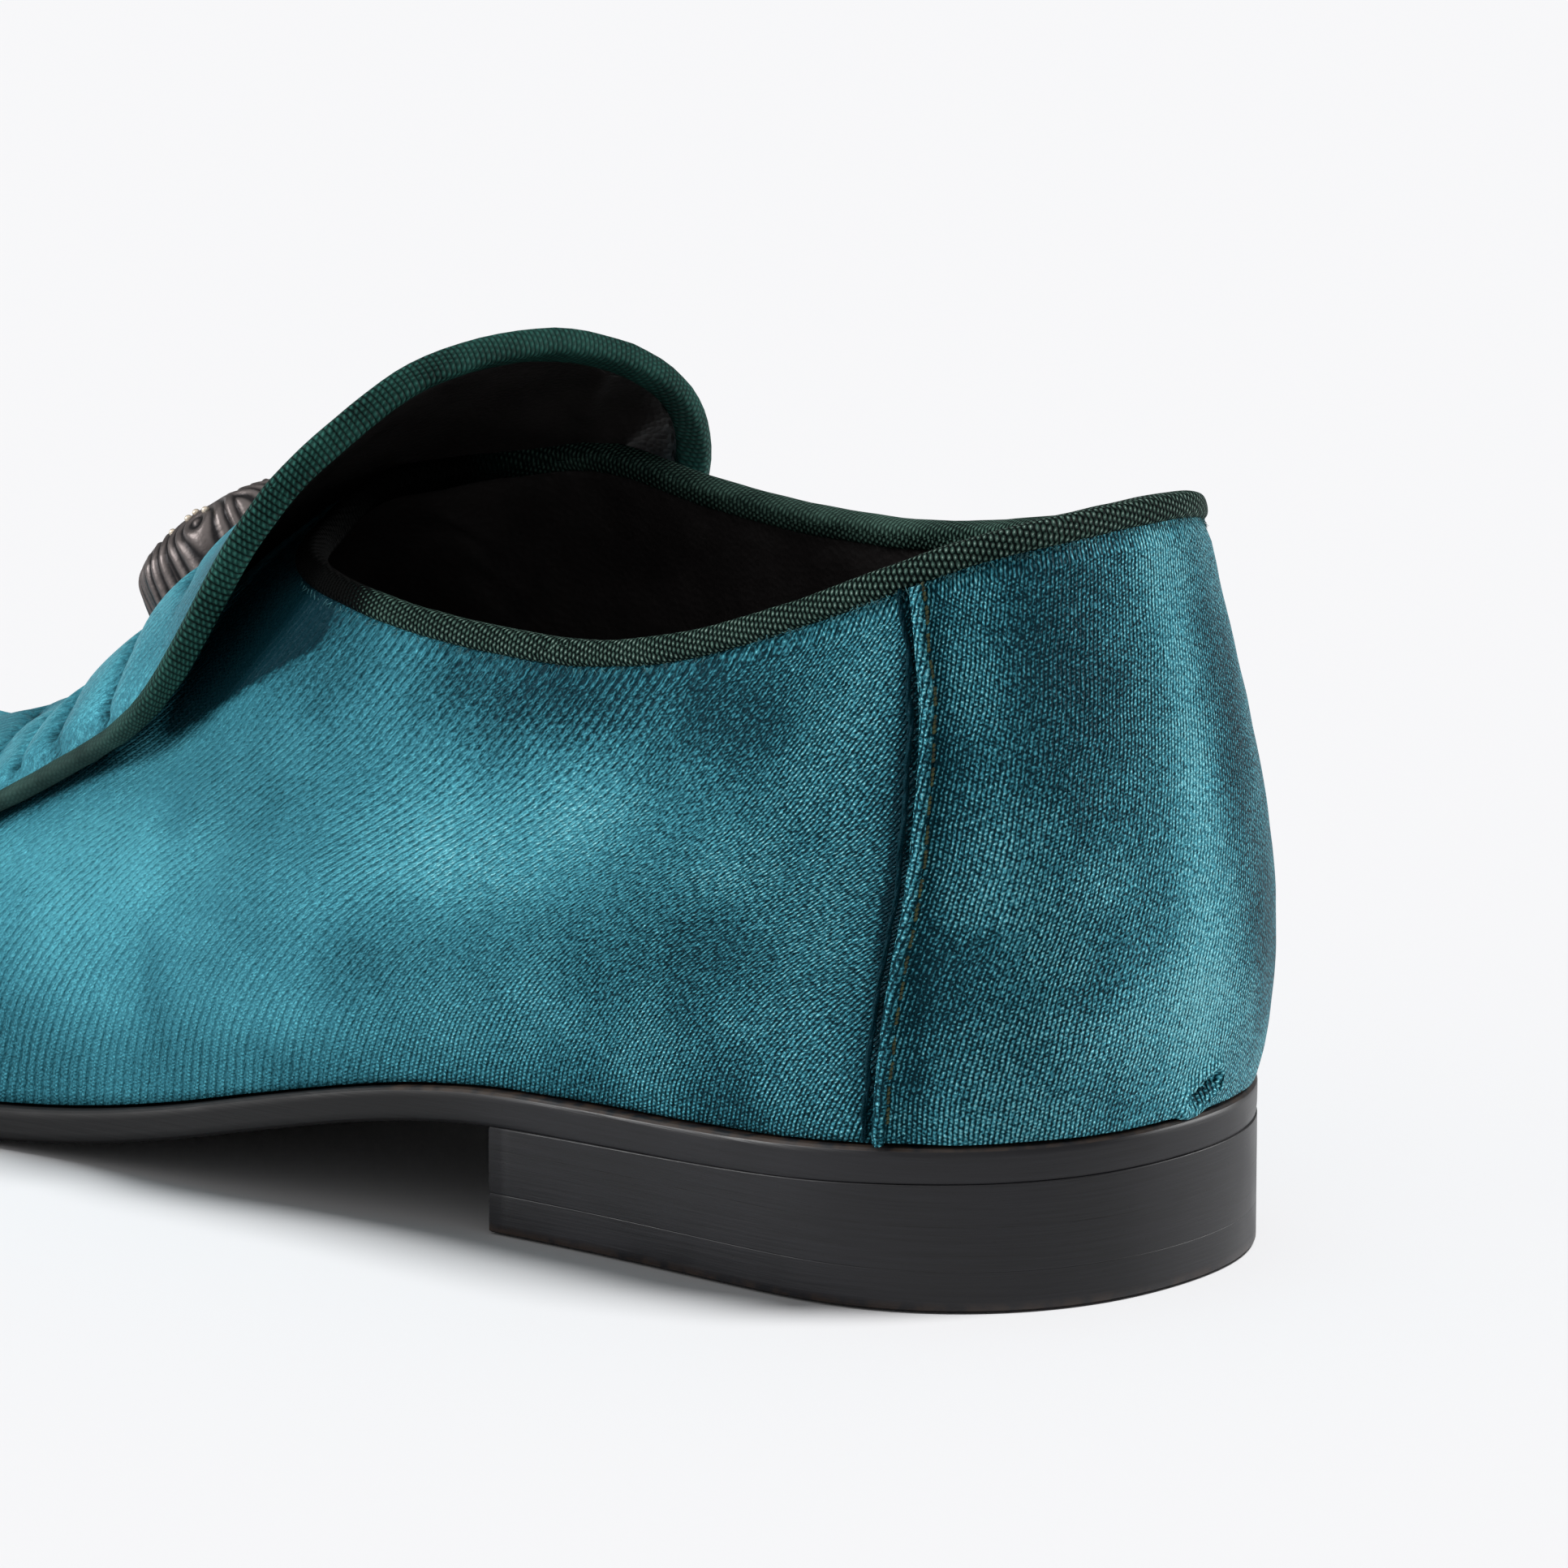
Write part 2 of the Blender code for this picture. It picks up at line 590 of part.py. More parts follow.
def tongue_column(side, step):
    curve = tongue_rib(side, step)
    inner = arc_share(curve, 0, tape_size(tape_widening(step))[0] + CLEARANCE)
    return [bezier(*curve, t) for t in [0.0] + list(np.linspace(inner, 1, TOP_ROWS + 1))]


def apron_columns(skin):
    """Columns round the apron and tongue from the toe's tip, outer side first, and the tongue step of each."""
    first = next(i for i, y in enumerate(STATIONS) if y > THROAT_POSITION + APRON_LEAD)
    last = len(STATIONS) - 1
    outer = [apron_column(skin, OUTER, i) for i in range(last, first - 1, -1)]
    outer += [tongue_column(OUTER, step) for step in range(TONGUE_STEPS + 1)]
    inner = [tongue_column(INNER, step) for step in range(TONGUE_STEPS - 1, -1, -1)]
    inner += [apron_column(skin, INNER, i) for i in range(first, last + 1)]
    steps = list(range(TONGUE_STEPS + 1)) + list(range(TONGUE_STEPS - 1, -1, -1))
    on_vamp = [None] * (last - first + 1)
    return outer + inner, on_vamp + steps + on_vamp


def make_tape(places, sizes):
    """A closed band of tape. places: centre, direction across it and direction through it. sizes: both widths."""
    mesh = bmesh.new()
    rings = []
    for (centre, across, through), (width, thickness) in zip(places, sizes):
        ring = []
        for k in range(TAPE_SIDES):
            angle = 2 * math.pi * k / TAPE_SIDES
            c, s = math.cos(angle), math.sin(angle)
            a = math.copysign(abs(c) ** TAPE_SQUARENESS, c) * width / 2
            b = math.copysign(abs(s) ** TAPE_SQUARENESS, s) * thickness / 2
            ring.append(mesh.verts.new(centre + across * a + through * b))
        rings.append(ring)
    for ring, after in zip(rings, rings[1:] + rings[:1]):
        for k in range(TAPE_SIDES):
            j = (k + 1) % TAPE_SIDES
            mesh.faces.new((ring[k], ring[j], after[j], after[k]))
    return mesh


def smooth_loop(vectors, times):
    for _ in range(times):
        count = len(vectors)
        vectors = [(vectors[i - 1] + vectors[i] * 2 + vectors[(i + 1) % count]).normalized() for i in range(count)]
    return vectors


def make_tongue_tape(columns, steps):
    """The tape outside the apron's edge: flat on the vamp, and square to the tongue's edge where that is free."""
    columns, steps = columns[:-1], steps[:-1]
    inner = [column[1] for column in columns]
    count = len(inner)
    places, sizes = [], []
    for i, (column, step) in enumerate(zip(columns, steps)):
        inward = column[1] - column[0] if step is None else column[2] - column[1]
        inward.normalize()
        normal = (inner[(i + 1) % count] - inner[i - 1]).cross(inward).normalized()
        widening = tape_widening(step)
        width, thickness = tape_size(widening)
        # On the vamp the tape's underside is level with the apron's; on the free tongue it is proud of both faces.
        drop = TONGUE_THICKNESS / 2 - (1 - widening) * (thickness - TONGUE_THICKNESS) / 2
        centre = column[1] - inward * (CLEARANCE + width / 2) - normal * drop
        places.append((centre, inward, normal))
        sizes.append((width, thickness))
    return make_tape(places, sizes)


def make_topline_tape(skin):
    """The collar's tape stands on the upper's edge, and on the counter's too where there is one."""
    ring = [(OUTER, i) for i in range(THROAT_INDEX + 1)] + [(INNER, i) for i in range(THROAT_INDEX - 1, 0, -1)]
    vertices = [skin.points[side, index, ROWS - 1] for side, index in ring]
    count = len(vertices)
    along = [(vertices[(i + 1) % count].co - vertices[i - 1].co).normalized() for i in range(count)]
    normal = smooth_loop([vertex.normal.copy() for vertex in vertices], 1)
    places, sizes = [], []
    for i in range(count):
        up = along[i].cross(normal[i]).normalized()
        through = up.cross(along[i]).normalized()
        extra = COUNTER_THICKNESS * (1 - smooth_step((ring[i][1] - COUNTER_STEPS) / COUNTER_BLEND_STEPS))
        centre = vertices[i].co + through * (extra - WALL) / 2 + up * (CLEARANCE + TOPLINE_TAPE_HEIGHT / 2)
        places.append((centre, up, through))
        sizes.append((TOPLINE_TAPE_HEIGHT, TOPLINE_TAPE_THICKNESS + extra))
    return make_tape(places, sizes)


def make_ornament(apron):
    """A low oval dome with flutes from its crown to its rim, which follows the apron that it lies on."""
    above = Vector((RIDGE_OFFSET, THROAT_POSITION + ORNAMENT_LEAD, TONGUE_HEIGHT))
    seat, normal, _, _ = apron.ray_cast(above, -UP)
    if normal.z < 0:
        normal = -normal
    across = Vector((1, 0, 0))
    along = normal.cross(across).normalized()
    normal = across.cross(along)
    mesh = bmesh.new()
    bmesh.ops.create_uvsphere(
        mesh, u_segments=FLUTE_STEPS * ORNAMENT_FLUTES, v_segments=ORNAMENT_RINGS, radius=1
    )
    for vertex in mesh.verts:
        angle = math.atan2(vertex.co.y, vertex.co.x)
        flat = math.hypot(vertex.co.x, vertex.co.y)
        flute = 1 + ORNAMENT_FLUTE_DEPTH * math.cos(ORNAMENT_FLUTES * angle) * flat**2
        x = vertex.co.x * flute * ORNAMENT_WIDTH / 2
        y = vertex.co.y * flute * ORNAMENT_LENGTH / 2
        seated = apron.ray_cast(seat + across * x + along * y + normal * ORNAMENT_REACH, -normal)[0]
        height = ORNAMENT_HEIGHT * (1 + ORNAMENT_LEAN * vertex.co.y)
        vertex.co = seated + normal * (CLEARANCE + max(vertex.co.z, 0) ** ORNAMENT_DOMING * height)
    return mesh


def main():
    for old in list(bpy.data.objects):
        bpy.data.objects.remove(old, do_unlink=True)
    collection = bpy.data.collections.new("velvet_slipper_loafer")
    bpy.context.scene.collection.children.link(collection)

    velvet = make_material("velvet", (0.05, 0.20, 0.24), 0.75)
    tape = make_material("grosgrain_tape", (0.02, 0.07, 0.06), 0.7)
    sock = make_material("sock_leather", (0.012, 0.011, 0.012), 0.6)
    leather = make_material("sole_leather", (0.03, 0.029, 0.033), 0.35)
    rubber = make_material("top_piece_rubber", (0.02, 0.02, 0.022), 0.6)
    metal = make_material("dark_metal", (0.18, 0.18, 0.18), 0.35, 1.0)

    skin = Skin()
    upper = add_object("upper", skin.mesh.copy(), velvet, collection)
    give_wall(upper, WALL)

    counter = add_object("heel_counter", make_counter(skin), velvet, collection)
    give_wall(counter, COUNTER_THICKNESS)

    columns, steps = apron_columns(skin)
    apron_mesh = make_grid([column[1:] for column in columns])
    ornament = make_ornament(BVHTree.FromBMesh(apron_mesh))
    apron = add_object("apron_tongue", apron_mesh, velvet, collection)
    give_wall(apron, TONGUE_THICKNESS)

    add_object("tongue_binding", make_tongue_tape(columns, steps), tape, collection)
    add_object("topline_binding", make_topline_tape(skin), tape, collection)
    add_object("ornament", ornament, metal, collection)

    add_object("outsole", make_slab(0, underside, sole_top, EDGE_ROUNDING), leather, collection)
    insole_inset = FEATHER_INSET + WALL + CLEARANCE
    insole = make_slab(
        insole_inset,
        lambda y: sole_top(y) + CLEARANCE,
        lambda y: sole_top(y) + CLEARANCE + INSOLE_THICKNESS,
        EDGE_ROUNDING,
    )
    add_object("insole", insole, sock, collection)
    stack = make_heel_layer(
        lambda y: TOP_PIECE_THICKNESS + CLEARANCE, lambda y: underside(y) - CLEARANCE, EDGE_ROUNDING / 2
    )
    add_object("heel_stack", stack, leather, collection)
    top_piece = make_heel_layer(lambda y: 0.0, lambda y: TOP_PIECE_THICKNESS, EDGE_ROUNDING / 2)
    add_object("heel_top_piece", top_piece, rubber, collection)
    skin.mesh.free()


main()
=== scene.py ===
# Velvet slipper loafer, left foot. Dresses the measured solids with cloth, tape, leather and metal.
import math
import random

import bmesh
import bpy
import numpy as np
from mathutils import Matrix, Vector, kdtree, noise
from mathutils.bvhtree import BVHTree


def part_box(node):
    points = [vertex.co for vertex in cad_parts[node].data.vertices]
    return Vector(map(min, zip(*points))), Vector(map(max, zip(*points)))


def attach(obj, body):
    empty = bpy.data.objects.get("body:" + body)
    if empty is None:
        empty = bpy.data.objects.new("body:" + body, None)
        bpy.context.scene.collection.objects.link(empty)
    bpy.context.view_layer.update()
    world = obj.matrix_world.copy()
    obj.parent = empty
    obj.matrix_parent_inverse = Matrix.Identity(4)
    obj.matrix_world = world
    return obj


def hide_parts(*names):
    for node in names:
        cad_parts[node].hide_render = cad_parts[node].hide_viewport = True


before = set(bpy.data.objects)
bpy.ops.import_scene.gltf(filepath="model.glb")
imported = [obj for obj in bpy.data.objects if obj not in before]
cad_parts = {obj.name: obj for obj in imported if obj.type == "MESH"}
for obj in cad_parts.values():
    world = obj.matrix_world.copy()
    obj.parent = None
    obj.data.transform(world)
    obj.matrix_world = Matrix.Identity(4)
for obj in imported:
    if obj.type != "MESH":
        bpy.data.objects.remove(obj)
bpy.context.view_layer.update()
chance = random.Random(7)

heelRadius = 0.03175  # half the heel's width; the frame's origin is its centre
midline = 0.0030  # the foot's middle lies a little towards the inner side
ridgeOffset = 0.0055  # the vamp's ridge lies further inwards still
quarterTurn = heelRadius * math.pi / 2  # length round a quarter of the heel


# Shader maths as plain expressions

class Signal:
    def __init__(self, graph, socket):
        self.graph, self.socket = graph, socket

    def combine(self, operation, first, second):
        return self.graph.add("ShaderNodeMath", {"operation": operation}, {0: first, 1: second})

    def __add__(self, other): return self.combine("ADD", self, other)
    def __radd__(self, other): return self.combine("ADD", other, self)
    def __sub__(self, other): return self.combine("SUBTRACT", self, other)
    def __rsub__(self, other): return self.combine("SUBTRACT", other, self)
    def __mul__(self, other): return self.combine("MULTIPLY", self, other)
    def __rmul__(self, other): return self.combine("MULTIPLY", other, self)
    def __truediv__(self, other): return self.combine("DIVIDE", self, other)
    def __pow__(self, other): return self.combine("POWER", self, other)


class Graph:
    def __init__(self, name):
        self.material = bpy.data.materials.new(name)
        self.material.use_nodes = True
        self.nodes, self.links = self.material.node_tree.nodes, self.material.node_tree.links
        self.shader = self.nodes["Principled BSDF"]

    def add(self, kind, settings=None, inputs=None, output=0):
        node = self.nodes.new(kind)
        for name, value in (settings or {}).items():
            setattr(node, name, value)
        for name, value in (inputs or {}).items():
            if isinstance(value, Signal):
                self.links.new(value.socket, node.inputs[name])
            else:
                node.inputs[name].default_value = value
        return Signal(self, node.outputs[output])

    def sine(self, value): return self.add("ShaderNodeMath", {"operation": "SINE"}, {0: value})
    def whole(self, value): return self.add("ShaderNodeMath", {"operation": "FLOOR"}, {0: value})
    def size(self, value): return self.add("ShaderNodeMath", {"operation": "ABSOLUTE"}, {0: value})

    def ramp(self, value, low, high, bottom=0.0, top=1.0):
        return self.add("ShaderNodeMapRange", {"interpolation_type": "SMOOTHSTEP"},
                        {"Value": value, "From Min": low, "From Max": high, "To Min": bottom, "To Max": top})

    def uv(self):
        return self.axes(self.add("ShaderNodeUVMap", {"uv_map": "cloth"}))[:2]

    def painted(self, name):
        settings = {"attribute_type": "GEOMETRY", "attribute_name": name}
        return self.add("ShaderNodeAttribute", settings, None, 2)

    def place(self):
        return self.add("ShaderNodeTexCoord", None, None, 3)

    def axes(self, vector):
        split = self.add("ShaderNodeSeparateXYZ", None, {0: vector})
        return [Signal(self, output) for output in split.socket.node.outputs]

    def vector(self, x, y, z=0.0):
        return self.add("ShaderNodeCombineXYZ", None, {0: x, 1: y, 2: z})

    def noise(self, vector, scale, detail=2.0, roughness=0.5):
        return self.add("ShaderNodeTexNoise", None,
                        {"Vector": vector, "Scale": scale, "Detail": detail, "Roughness": roughness})

    def mix(self, factor, low, high):
        node = self.nodes.new("ShaderNodeMix")
        node.data_type = "RGBA"
        for index, value in ((0, factor), (6, low), (7, high)):
            if isinstance(value, Signal):
                self.links.new(value.socket, node.inputs[index])
            else:
                node.inputs[index].default_value = (*value, 1) if index else value
        return Signal(self, node.outputs[2])

    def set(self, **values):
        for name, value in values.items():
            socket = self.shader.inputs[name.replace("_", " ")]
            if isinstance(value, Signal):
                self.links.new(value.socket, socket)
            else:
                socket.default_value = (*value, 1) if isinstance(value, tuple) else value

    def bump(self, height, distance, strength=1.0, before=None):
        inputs = {"Height": height, "Distance": distance, "Strength": strength}
        if before:
            inputs["Normal"] = before
        return self.add("ShaderNodeBump", None, inputs)


def fromScreen(red, green, blue):
    # screen values 0 to 255 as linear light
    return tuple(((c / 255 + 0.055) / 1.055) ** 2.4 if c > 10 else c / 3294.6 for c in (red, green, blue))


def makePlain(name, low, high, roughness, scale):
    # a plain surface with a fine grain: two colours, roughness, fineness
    g = Graph(name)
    grain = g.noise(g.place(), scale, 3.0, 0.6)
    g.set(Base_Color=g.mix(g.ramp(grain, 0.3, 0.7), low, high), Normal=g.bump(grain, 0.0001, 0.6),
          Roughness=g.ramp(grain, 0.3, 0.7, roughness - 0.05, roughness + 0.08))
    return g.material


# Smooth copies of the solids, which may be shaped

def mergedCopy(node):
    work = bmesh.new()
    work.from_mesh(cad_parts[node].data)
    bmesh.ops.remove_doubles(work, verts=work.verts[:], dist=0.00001)
    work.normal_update()
    return work


def smoothCopy(node, levels, creaseAngle=38, shape=None, hardness=0.85):
    work = mergedCopy(node)
    if shape:
        shape(work)
    bmesh.ops.join_triangles(work, faces=work.faces[:], angle_face_threshold=math.radians(30),
                             angle_shape_threshold=math.radians(70))
    crease = work.edges.layers.float.get("crease_edge") or work.edges.layers.float.new("crease_edge")
    for edge in work.edges:
        if edge.calc_face_angle(0) > math.radians(creaseAngle):
            edge[crease] = hardness
    mesh = bpy.data.meshes.new(node + "Cage")
    work.to_mesh(mesh)
    work.free()
    cage = bpy.data.objects.new(node + "Cage", mesh)
    bpy.context.scene.collection.objects.link(cage)
    smoother = cage.modifiers.new("smooth", "SUBSURF")
    smoother.levels = smoother.render_levels = levels
    ready = cage.evaluated_get(bpy.context.evaluated_depsgraph_get())
    result = bmesh.new()
    result.from_mesh(ready.to_mesh())
    bpy.data.objects.remove(cage, do_unlink=True)
    bpy.data.meshes.remove(mesh)
    result.normal_update()
    return result


pieces = []


def finishPiece(work, name, materials, replaced=()):
    mesh = bpy.data.meshes.new(name)
    work.normal_update()
    work.to_mesh(mesh)
    work.free()
    for material in materials:
        mesh.materials.append(material)
    mesh.shade_smooth()
    mesh.set_sharp_from_angle(angle=math.radians(50))
    piece = bpy.data.objects.new(name, mesh)
    bpy.context.scene.collection.objects.link(piece)
    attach(piece, "root")
    if replaced:
        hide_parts(*replaced)
    pieces.append(piece)


def isOutside(place, normal):
    # the foot's middle: whatever faces away from it is the shoe's outer face
    middle = Vector((midline, min(max(place.y, 0.0), 0.225), 0.028))
    return normal.dot(place - middle) > 0


def bell(distance, width):
    return math.exp(-(distance / width) ** 2)


def stepUp(t):
    t = min(max(t, 0.0), 1.0)
    return t * t * (3 - 2 * t)


def smoothPath(points, steps, closed=False):
    # a smooth curve through the points
    count = len(points)
    result = []
    for i in range(count if closed else count - 1):
        a = points[i - 1] if (closed or i) else points[0]
        b, c = points[i], points[(i + 1) % count]
        d = points[(i + 2) % count] if (closed or i + 2 < count) else points[-1]
        for k in range(steps):
            t = k / steps
            result.append(0.5 * (2 * b + (c - a) * t + (2 * a - 5 * b + 4 * c - d) * t * t
                                 + (3 * b - 3 * c + d - a) * t * t * t))
    if not closed:
        result.append(points[-1].copy())
    return result


def pathTree(path):
    tree = kdtree.KDTree(len(path))
    for i, point in enumerate(path):
        tree.insert(point, i)
    tree.balance()
    return tree


def ringPath(node, limit=0.0026):
    # the middle line of a tape: the middles of its rings of closely set points, in order
    work = mergedCopy(node)
    work.verts.index_update()
    owner = list(range(len(work.verts)))

    def root(i):
        while owner[i] != i:
            i = owner[i]
        return i

    for edge in work.edges:
        if edge.calc_length() < limit:
            owner[root(edge.verts[0].index)] = root(edge.verts[1].index)
    members, links = {}, {}
    for vertex in work.verts:
        members.setdefault(root(vertex.index), []).append(vertex.co.copy())
    for edge in work.edges:
        a, b = (root(v.index) for v in edge.verts)
        if a != b:
            links.setdefault(a, set()).add(b)
            links.setdefault(b, set()).add(a)
    work.free()
    order = [min(members)]
    while len(order) < len(members):
        ahead = sorted(links[order[-1]] - set(order))
        if not ahead:
            break
        order.append(ahead[0])
    print("tape", node, len(members), "rings", len(order), "in order")
    return [sum(members[r], Vector()) / len(members[r]) for r in order]


# the rise of the collar's inner edge: its height, then where it starts and over what length it grows
throat = {"lift": 0.0031, "forwards": (0.058, 0.022), "inwards": (-0.010, 0.020), "upwards": (0.052, 0.014),
          "settles": (0.084, 0.008)}


def raiseThroat(place):
    # the inner side's edge stands a little higher in front, under the tongue
    share = 1.0
    for value, name in ((place.y, "forwards"), (place.x, "inwards"), (place.z, "upwards")):
        start, reach = throat[name]
        share *= stepUp((value - start) / reach)
    start, reach = throat["settles"]
    share *= 1 - 0.5 * stepUp((place.y - start) / reach)
    return place + Vector((0, 0, throat["lift"] * share))


collarPath = [raiseThroat(point) for point in smoothPath(ringPath("topline_binding"), 8, True)]
tonguePath = smoothPath(ringPath("tongue_binding"), 8, True)
collarTree, tongueTree = pathTree(collarPath), pathTree(tonguePath)


def tuckUnder(work, tree, reach, amount):
    # the cloth's rim goes a little way into the tape
    for vertex in work.verts:
        place, _, distance = tree.find(vertex.co)
        if distance < reach:
            vertex.co += (place - vertex.co) * amount * (1 - distance / reach) ** 0.5


def sweepBand(work, path, normals, profile):
    # a closed band along a path. profile: pairs of across and outward, in order round the section
    def placeRing(ring, i):
        along = (path[min(i + 1, len(path) - 1)] - path[max(i - 1, 0)]).normalized()
        out = (normals[i] - along * normals[i].dot(along)).normalized()
        across = along.cross(out)
        for vertex, (a, b) in zip(ring, profile):
            vertex.co = path[i] + across * a + out * b

    ring = bmesh.ops.create_circle(work, cap_ends=True, segments=len(profile), radius=0.001)["verts"]
    placeRing(ring, 0)
    for i in range(1, len(path)):
        inRing = set(ring)
        edges = list({e for v in ring for e in v.link_edges if e.other_vert(v) in inRing})
        extruded = bmesh.ops.extrude_edge_only(work, edges=edges)["geom"]
        grown = {part for part in extruded if isinstance(part, bmesh.types.BMVert)}
        ring = [next(e.other_vert(v) for e in v.link_edges if e.other_vert(v) in grown) for v in ring]
        placeRing(ring, i)
    bmesh.ops.contextual_create(work, geom=ring)


def addStitches(work, path, normals, spacing, length, radius, tilt=0.0, lift=0.5, strands=1):
    # each stitch is one rounded bead, or a few slanted ones where the thread's twist shows
    gone = 0.0
    for i in range(1, len(path) - 1):
        gone += (path[i] - path[i - 1]).length
        if gone >= spacing:
            gone -= spacing
            along = (path[i + 1] - path[i - 1]).normalized()
            out = (normals[i] - along * normals[i].dot(along)).normalized()
            slant = (along + along.cross(out) * tilt).normalized()
            turn = Matrix((slant.cross(out), slant, out)).transposed().to_4x4()
            for k in range(strands):
                step = along * length / strands * (k - (strands - 1) / 2)
                middle = Matrix.Translation(path[i] + step + out * radius * lift)
                half = length / strands * (0.5 if strands == 1 else 0.64)
                bmesh.ops.create_uvsphere(work, u_segments=8, v_segments=6, radius=1,
                                          matrix=middle @ turn @ Matrix.Diagonal((radius, half, radius, 1)))


# Velvet

velvet = {
    # colours from painted shade (deep, dark) through the velvet's teal to painted sheen and painted glints
    # (bright and the glint colour)
    "deep": fromScreen(2, 40, 50), "dark": fromScreen(24, 78, 90), "middle": fromScreen(54, 124, 140),
    "bright": fromScreen(84, 168, 184), "paintedGlint": fromScreen(142, 218, 228),
    "rib": 0.0006, "bead": 0.00046, "metal": 0.30, "rough": 0.46, "depth": 0.00016,
    "sheen": 0.05, "sheenTint": fromScreen(90, 200, 214),
    "cords": (0.035, 0.075),  # from here forwards the fine twill gives way to broad cords
    "crisp": (-0.010, 0.085),  # sharp behind, softer towards the toe
    "cloud": 0.75, "haze": 0.4, "contrast": 0.95, "level": 0.515, "fleckDepth": 0.00022,
    # how far the ribs run back for each step up: slopes at heights above the floor
    "slopes": ((0.000, 0.10), (0.012, 0.22), (0.018, 0.42), (0.024, 0.72), (0.031, 1.02), (0.038, 1.42),
               (0.045, 1.42), (0.052, 0.85), (0.060, 0.72), (0.100, 0.70)),
}


def ribShift(height):
    # the slopes added up from the floor to this height
    total = 0.0
    for (low, first), (high, second) in zip(velvet["slopes"], velvet["slopes"][1:]):
        if height <= low:
            break
        share = min(height, high) - low
        total += share * first + (second - first) * share ** 2 / (high - low) / 2
    return total


def wrapLength(place, outer):
    # length round the shoe: from the outer side past the heel's back to the inner side
    if place.y >= 0:
        return place.y if outer else -2 * quarterTurn - place.y
    turn = math.atan2(-place.y, abs(place.x)) * heelRadius
    return -turn if place.x < 0 else -2 * quarterTurn + turn


def clothUv(work, lean=1.0):
    # u crosses the ribs, v is height. lean: share of the ribs' slope
    layer = work.loops.layers.uv.new("cloth")
    for face in work.faces:
        outer = face.calc_center_median().x < midline
        for loop in face.loops:
            place = loop.vert.co
            loop[layer].uv = (wrapLength(place, outer) + lean * ribShift(place.z), place.z)


def alongStroke(length, height, place, level, turn):
    # distances along and across a stroke at this place and level, turned by so many degrees
    c, s = math.cos(math.radians(turn)), math.sin(math.radians(turn))
    du, dv = length - place, height - level
    return du * c + dv * s, dv * c - du * s


def napAndLightAt(strokes, length, height):
    total = 0.0
    for place, level, turn, long, wide, strength in strokes:
        run, off = alongStroke(length, height, place, level, turn)
        if abs(run) < 3 * long and abs(off) < 3 * wide:
            total += strength * bell(run, long) * bell(off, wide)
    return total


def paintNapAndLight(work, strokes, mirrored=0.0):
    # soft strokes of pile brushing and of painted sheen and shade: length round, height, direction, half
    # length, half width, strength
    # mirrored: the share of them that the inner side repeats
    layer = work.verts.layers.float.new("napAndPaintedLight")
    for vertex in work.verts:
        x, y, z = vertex.co
        total = 0.0
        if x < midline or y < 0:
            total += napAndLightAt(strokes, wrapLength(vertex.co, True), z)
        if mirrored and x >= midline:
            total += mirrored * napAndLightAt(strokes, -2 * quarterTurn - wrapLength(vertex.co, False), z)
        vertex[layer] = total


def makeVelvet(name, shade=0.0, ribbed=1.0, rib=None, gloss=0.0, lively=1.0):
    # shade: the piece's velvet painted lighter or darker for the light it gets. ribbed: the cords' strength.
    # rib: their spacing. lively: contrast of the pile
    g = Graph(name)
    across, along = g.uv()
    place = g.place()
    flat = g.vector(across, along)
    rib = rib or velvet["rib"]
    drift = (g.noise(flat, 60, 2.0) - 0.5) * 0.0022 + (g.noise(flat, 420, 1.0) - 0.5) * 0.00022
    phase = (across + drift) / rib
    row = g.whole(phase)
    ridge = g.size(g.sine(phase * math.pi))
    wide = g.size(g.sine(phase * (math.pi / 2) + 0.4))
    front = g.ramp(across, *velvet["cords"])
    beadPhase = along / velvet["bead"] + row * 0.5 + g.noise(flat, 700, 1.0) * 1.4
    bead = g.sine(beadPhase * (2 * math.pi)) * 0.5 + 0.5
    dash = g.noise(g.vector(phase * 1.9, along / 0.00052 + row * 7.3), 1.0, 1.0, 0.5)
    fleck = g.noise(place, 3600, 1.0, 0.6)
    fluff = g.noise(place, 900, 2.0, 0.6)
    cords = (ridge * (1.0 - front * 0.65) + wide * front * 0.9) * ribbed
    patchy = g.ramp(g.noise(place, 55, 2.0), 0.35, 0.65, 0.55, 1.0)
    relief = cords * (bead * (0.60 - front * 0.40) + 0.50) * patchy + dash * 0.45 + fluff * 0.20
    cloud = (g.noise(place, 42, 3.0, 0.55) - 0.5) * velvet["cloud"]
    cloud = cloud + (g.noise(place, 15, 1.0) - 0.5) * velvet["haze"]
    sharp = g.ramp(g.axes(place)[1], *velvet["crisp"], 1.25, 0.38) * lively
    # painted glints: sparkle from the fine flecks and dashes
    paintedSparkle = (g.ramp(fleck, 0.34, 0.66) - 0.5) * 0.18 + (g.ramp(dash, 0.36, 0.64) - 0.5) * 0.34
    # the tone: painted sheen and shade from the strokes, random clouds, and the relief painted as highlights
    # on the ridges and shade between them
    tone = g.painted("napAndPaintedLight") + cloud + ((relief - 0.86) * velvet["contrast"] + paintedSparkle) * sharp
    tone = tone + velvet["level"] + shade
    colour = g.mix(g.ramp(tone, 0.0, 0.30), velvet["deep"], velvet["dark"])
    colour = g.mix(g.ramp(tone, 0.22, 0.60), colour, velvet["middle"])
    colour = g.mix(g.ramp(tone, 0.55, 0.95), colour, velvet["bright"])
    colour = g.mix(g.ramp(tone, 0.95, 1.30), colour, velvet["paintedGlint"])
    soft = g.bump(relief, velvet["depth"] * 3.2, 0.9 if ribbed > 0.8 else 0.3)
    g.set(Base_Color=colour, Metallic=velvet["metal"] + gloss, Roughness=velvet["rough"],
          Normal=g.bump(fleck, velvet["fleckDepth"], 0.6, soft), Specular_IOR_Level=0.08)
    g.set(Sheen_Weight=velvet["sheen"], Sheen_Roughness=0.4, Sheen_Tint=velvet["sheenTint"])
    return g.material


leather = {"dark": (0.0105, 0.0090, 0.0090), "light": (0.0290, 0.0250, 0.0250), "pores": 1400, "wrinkles": 140}


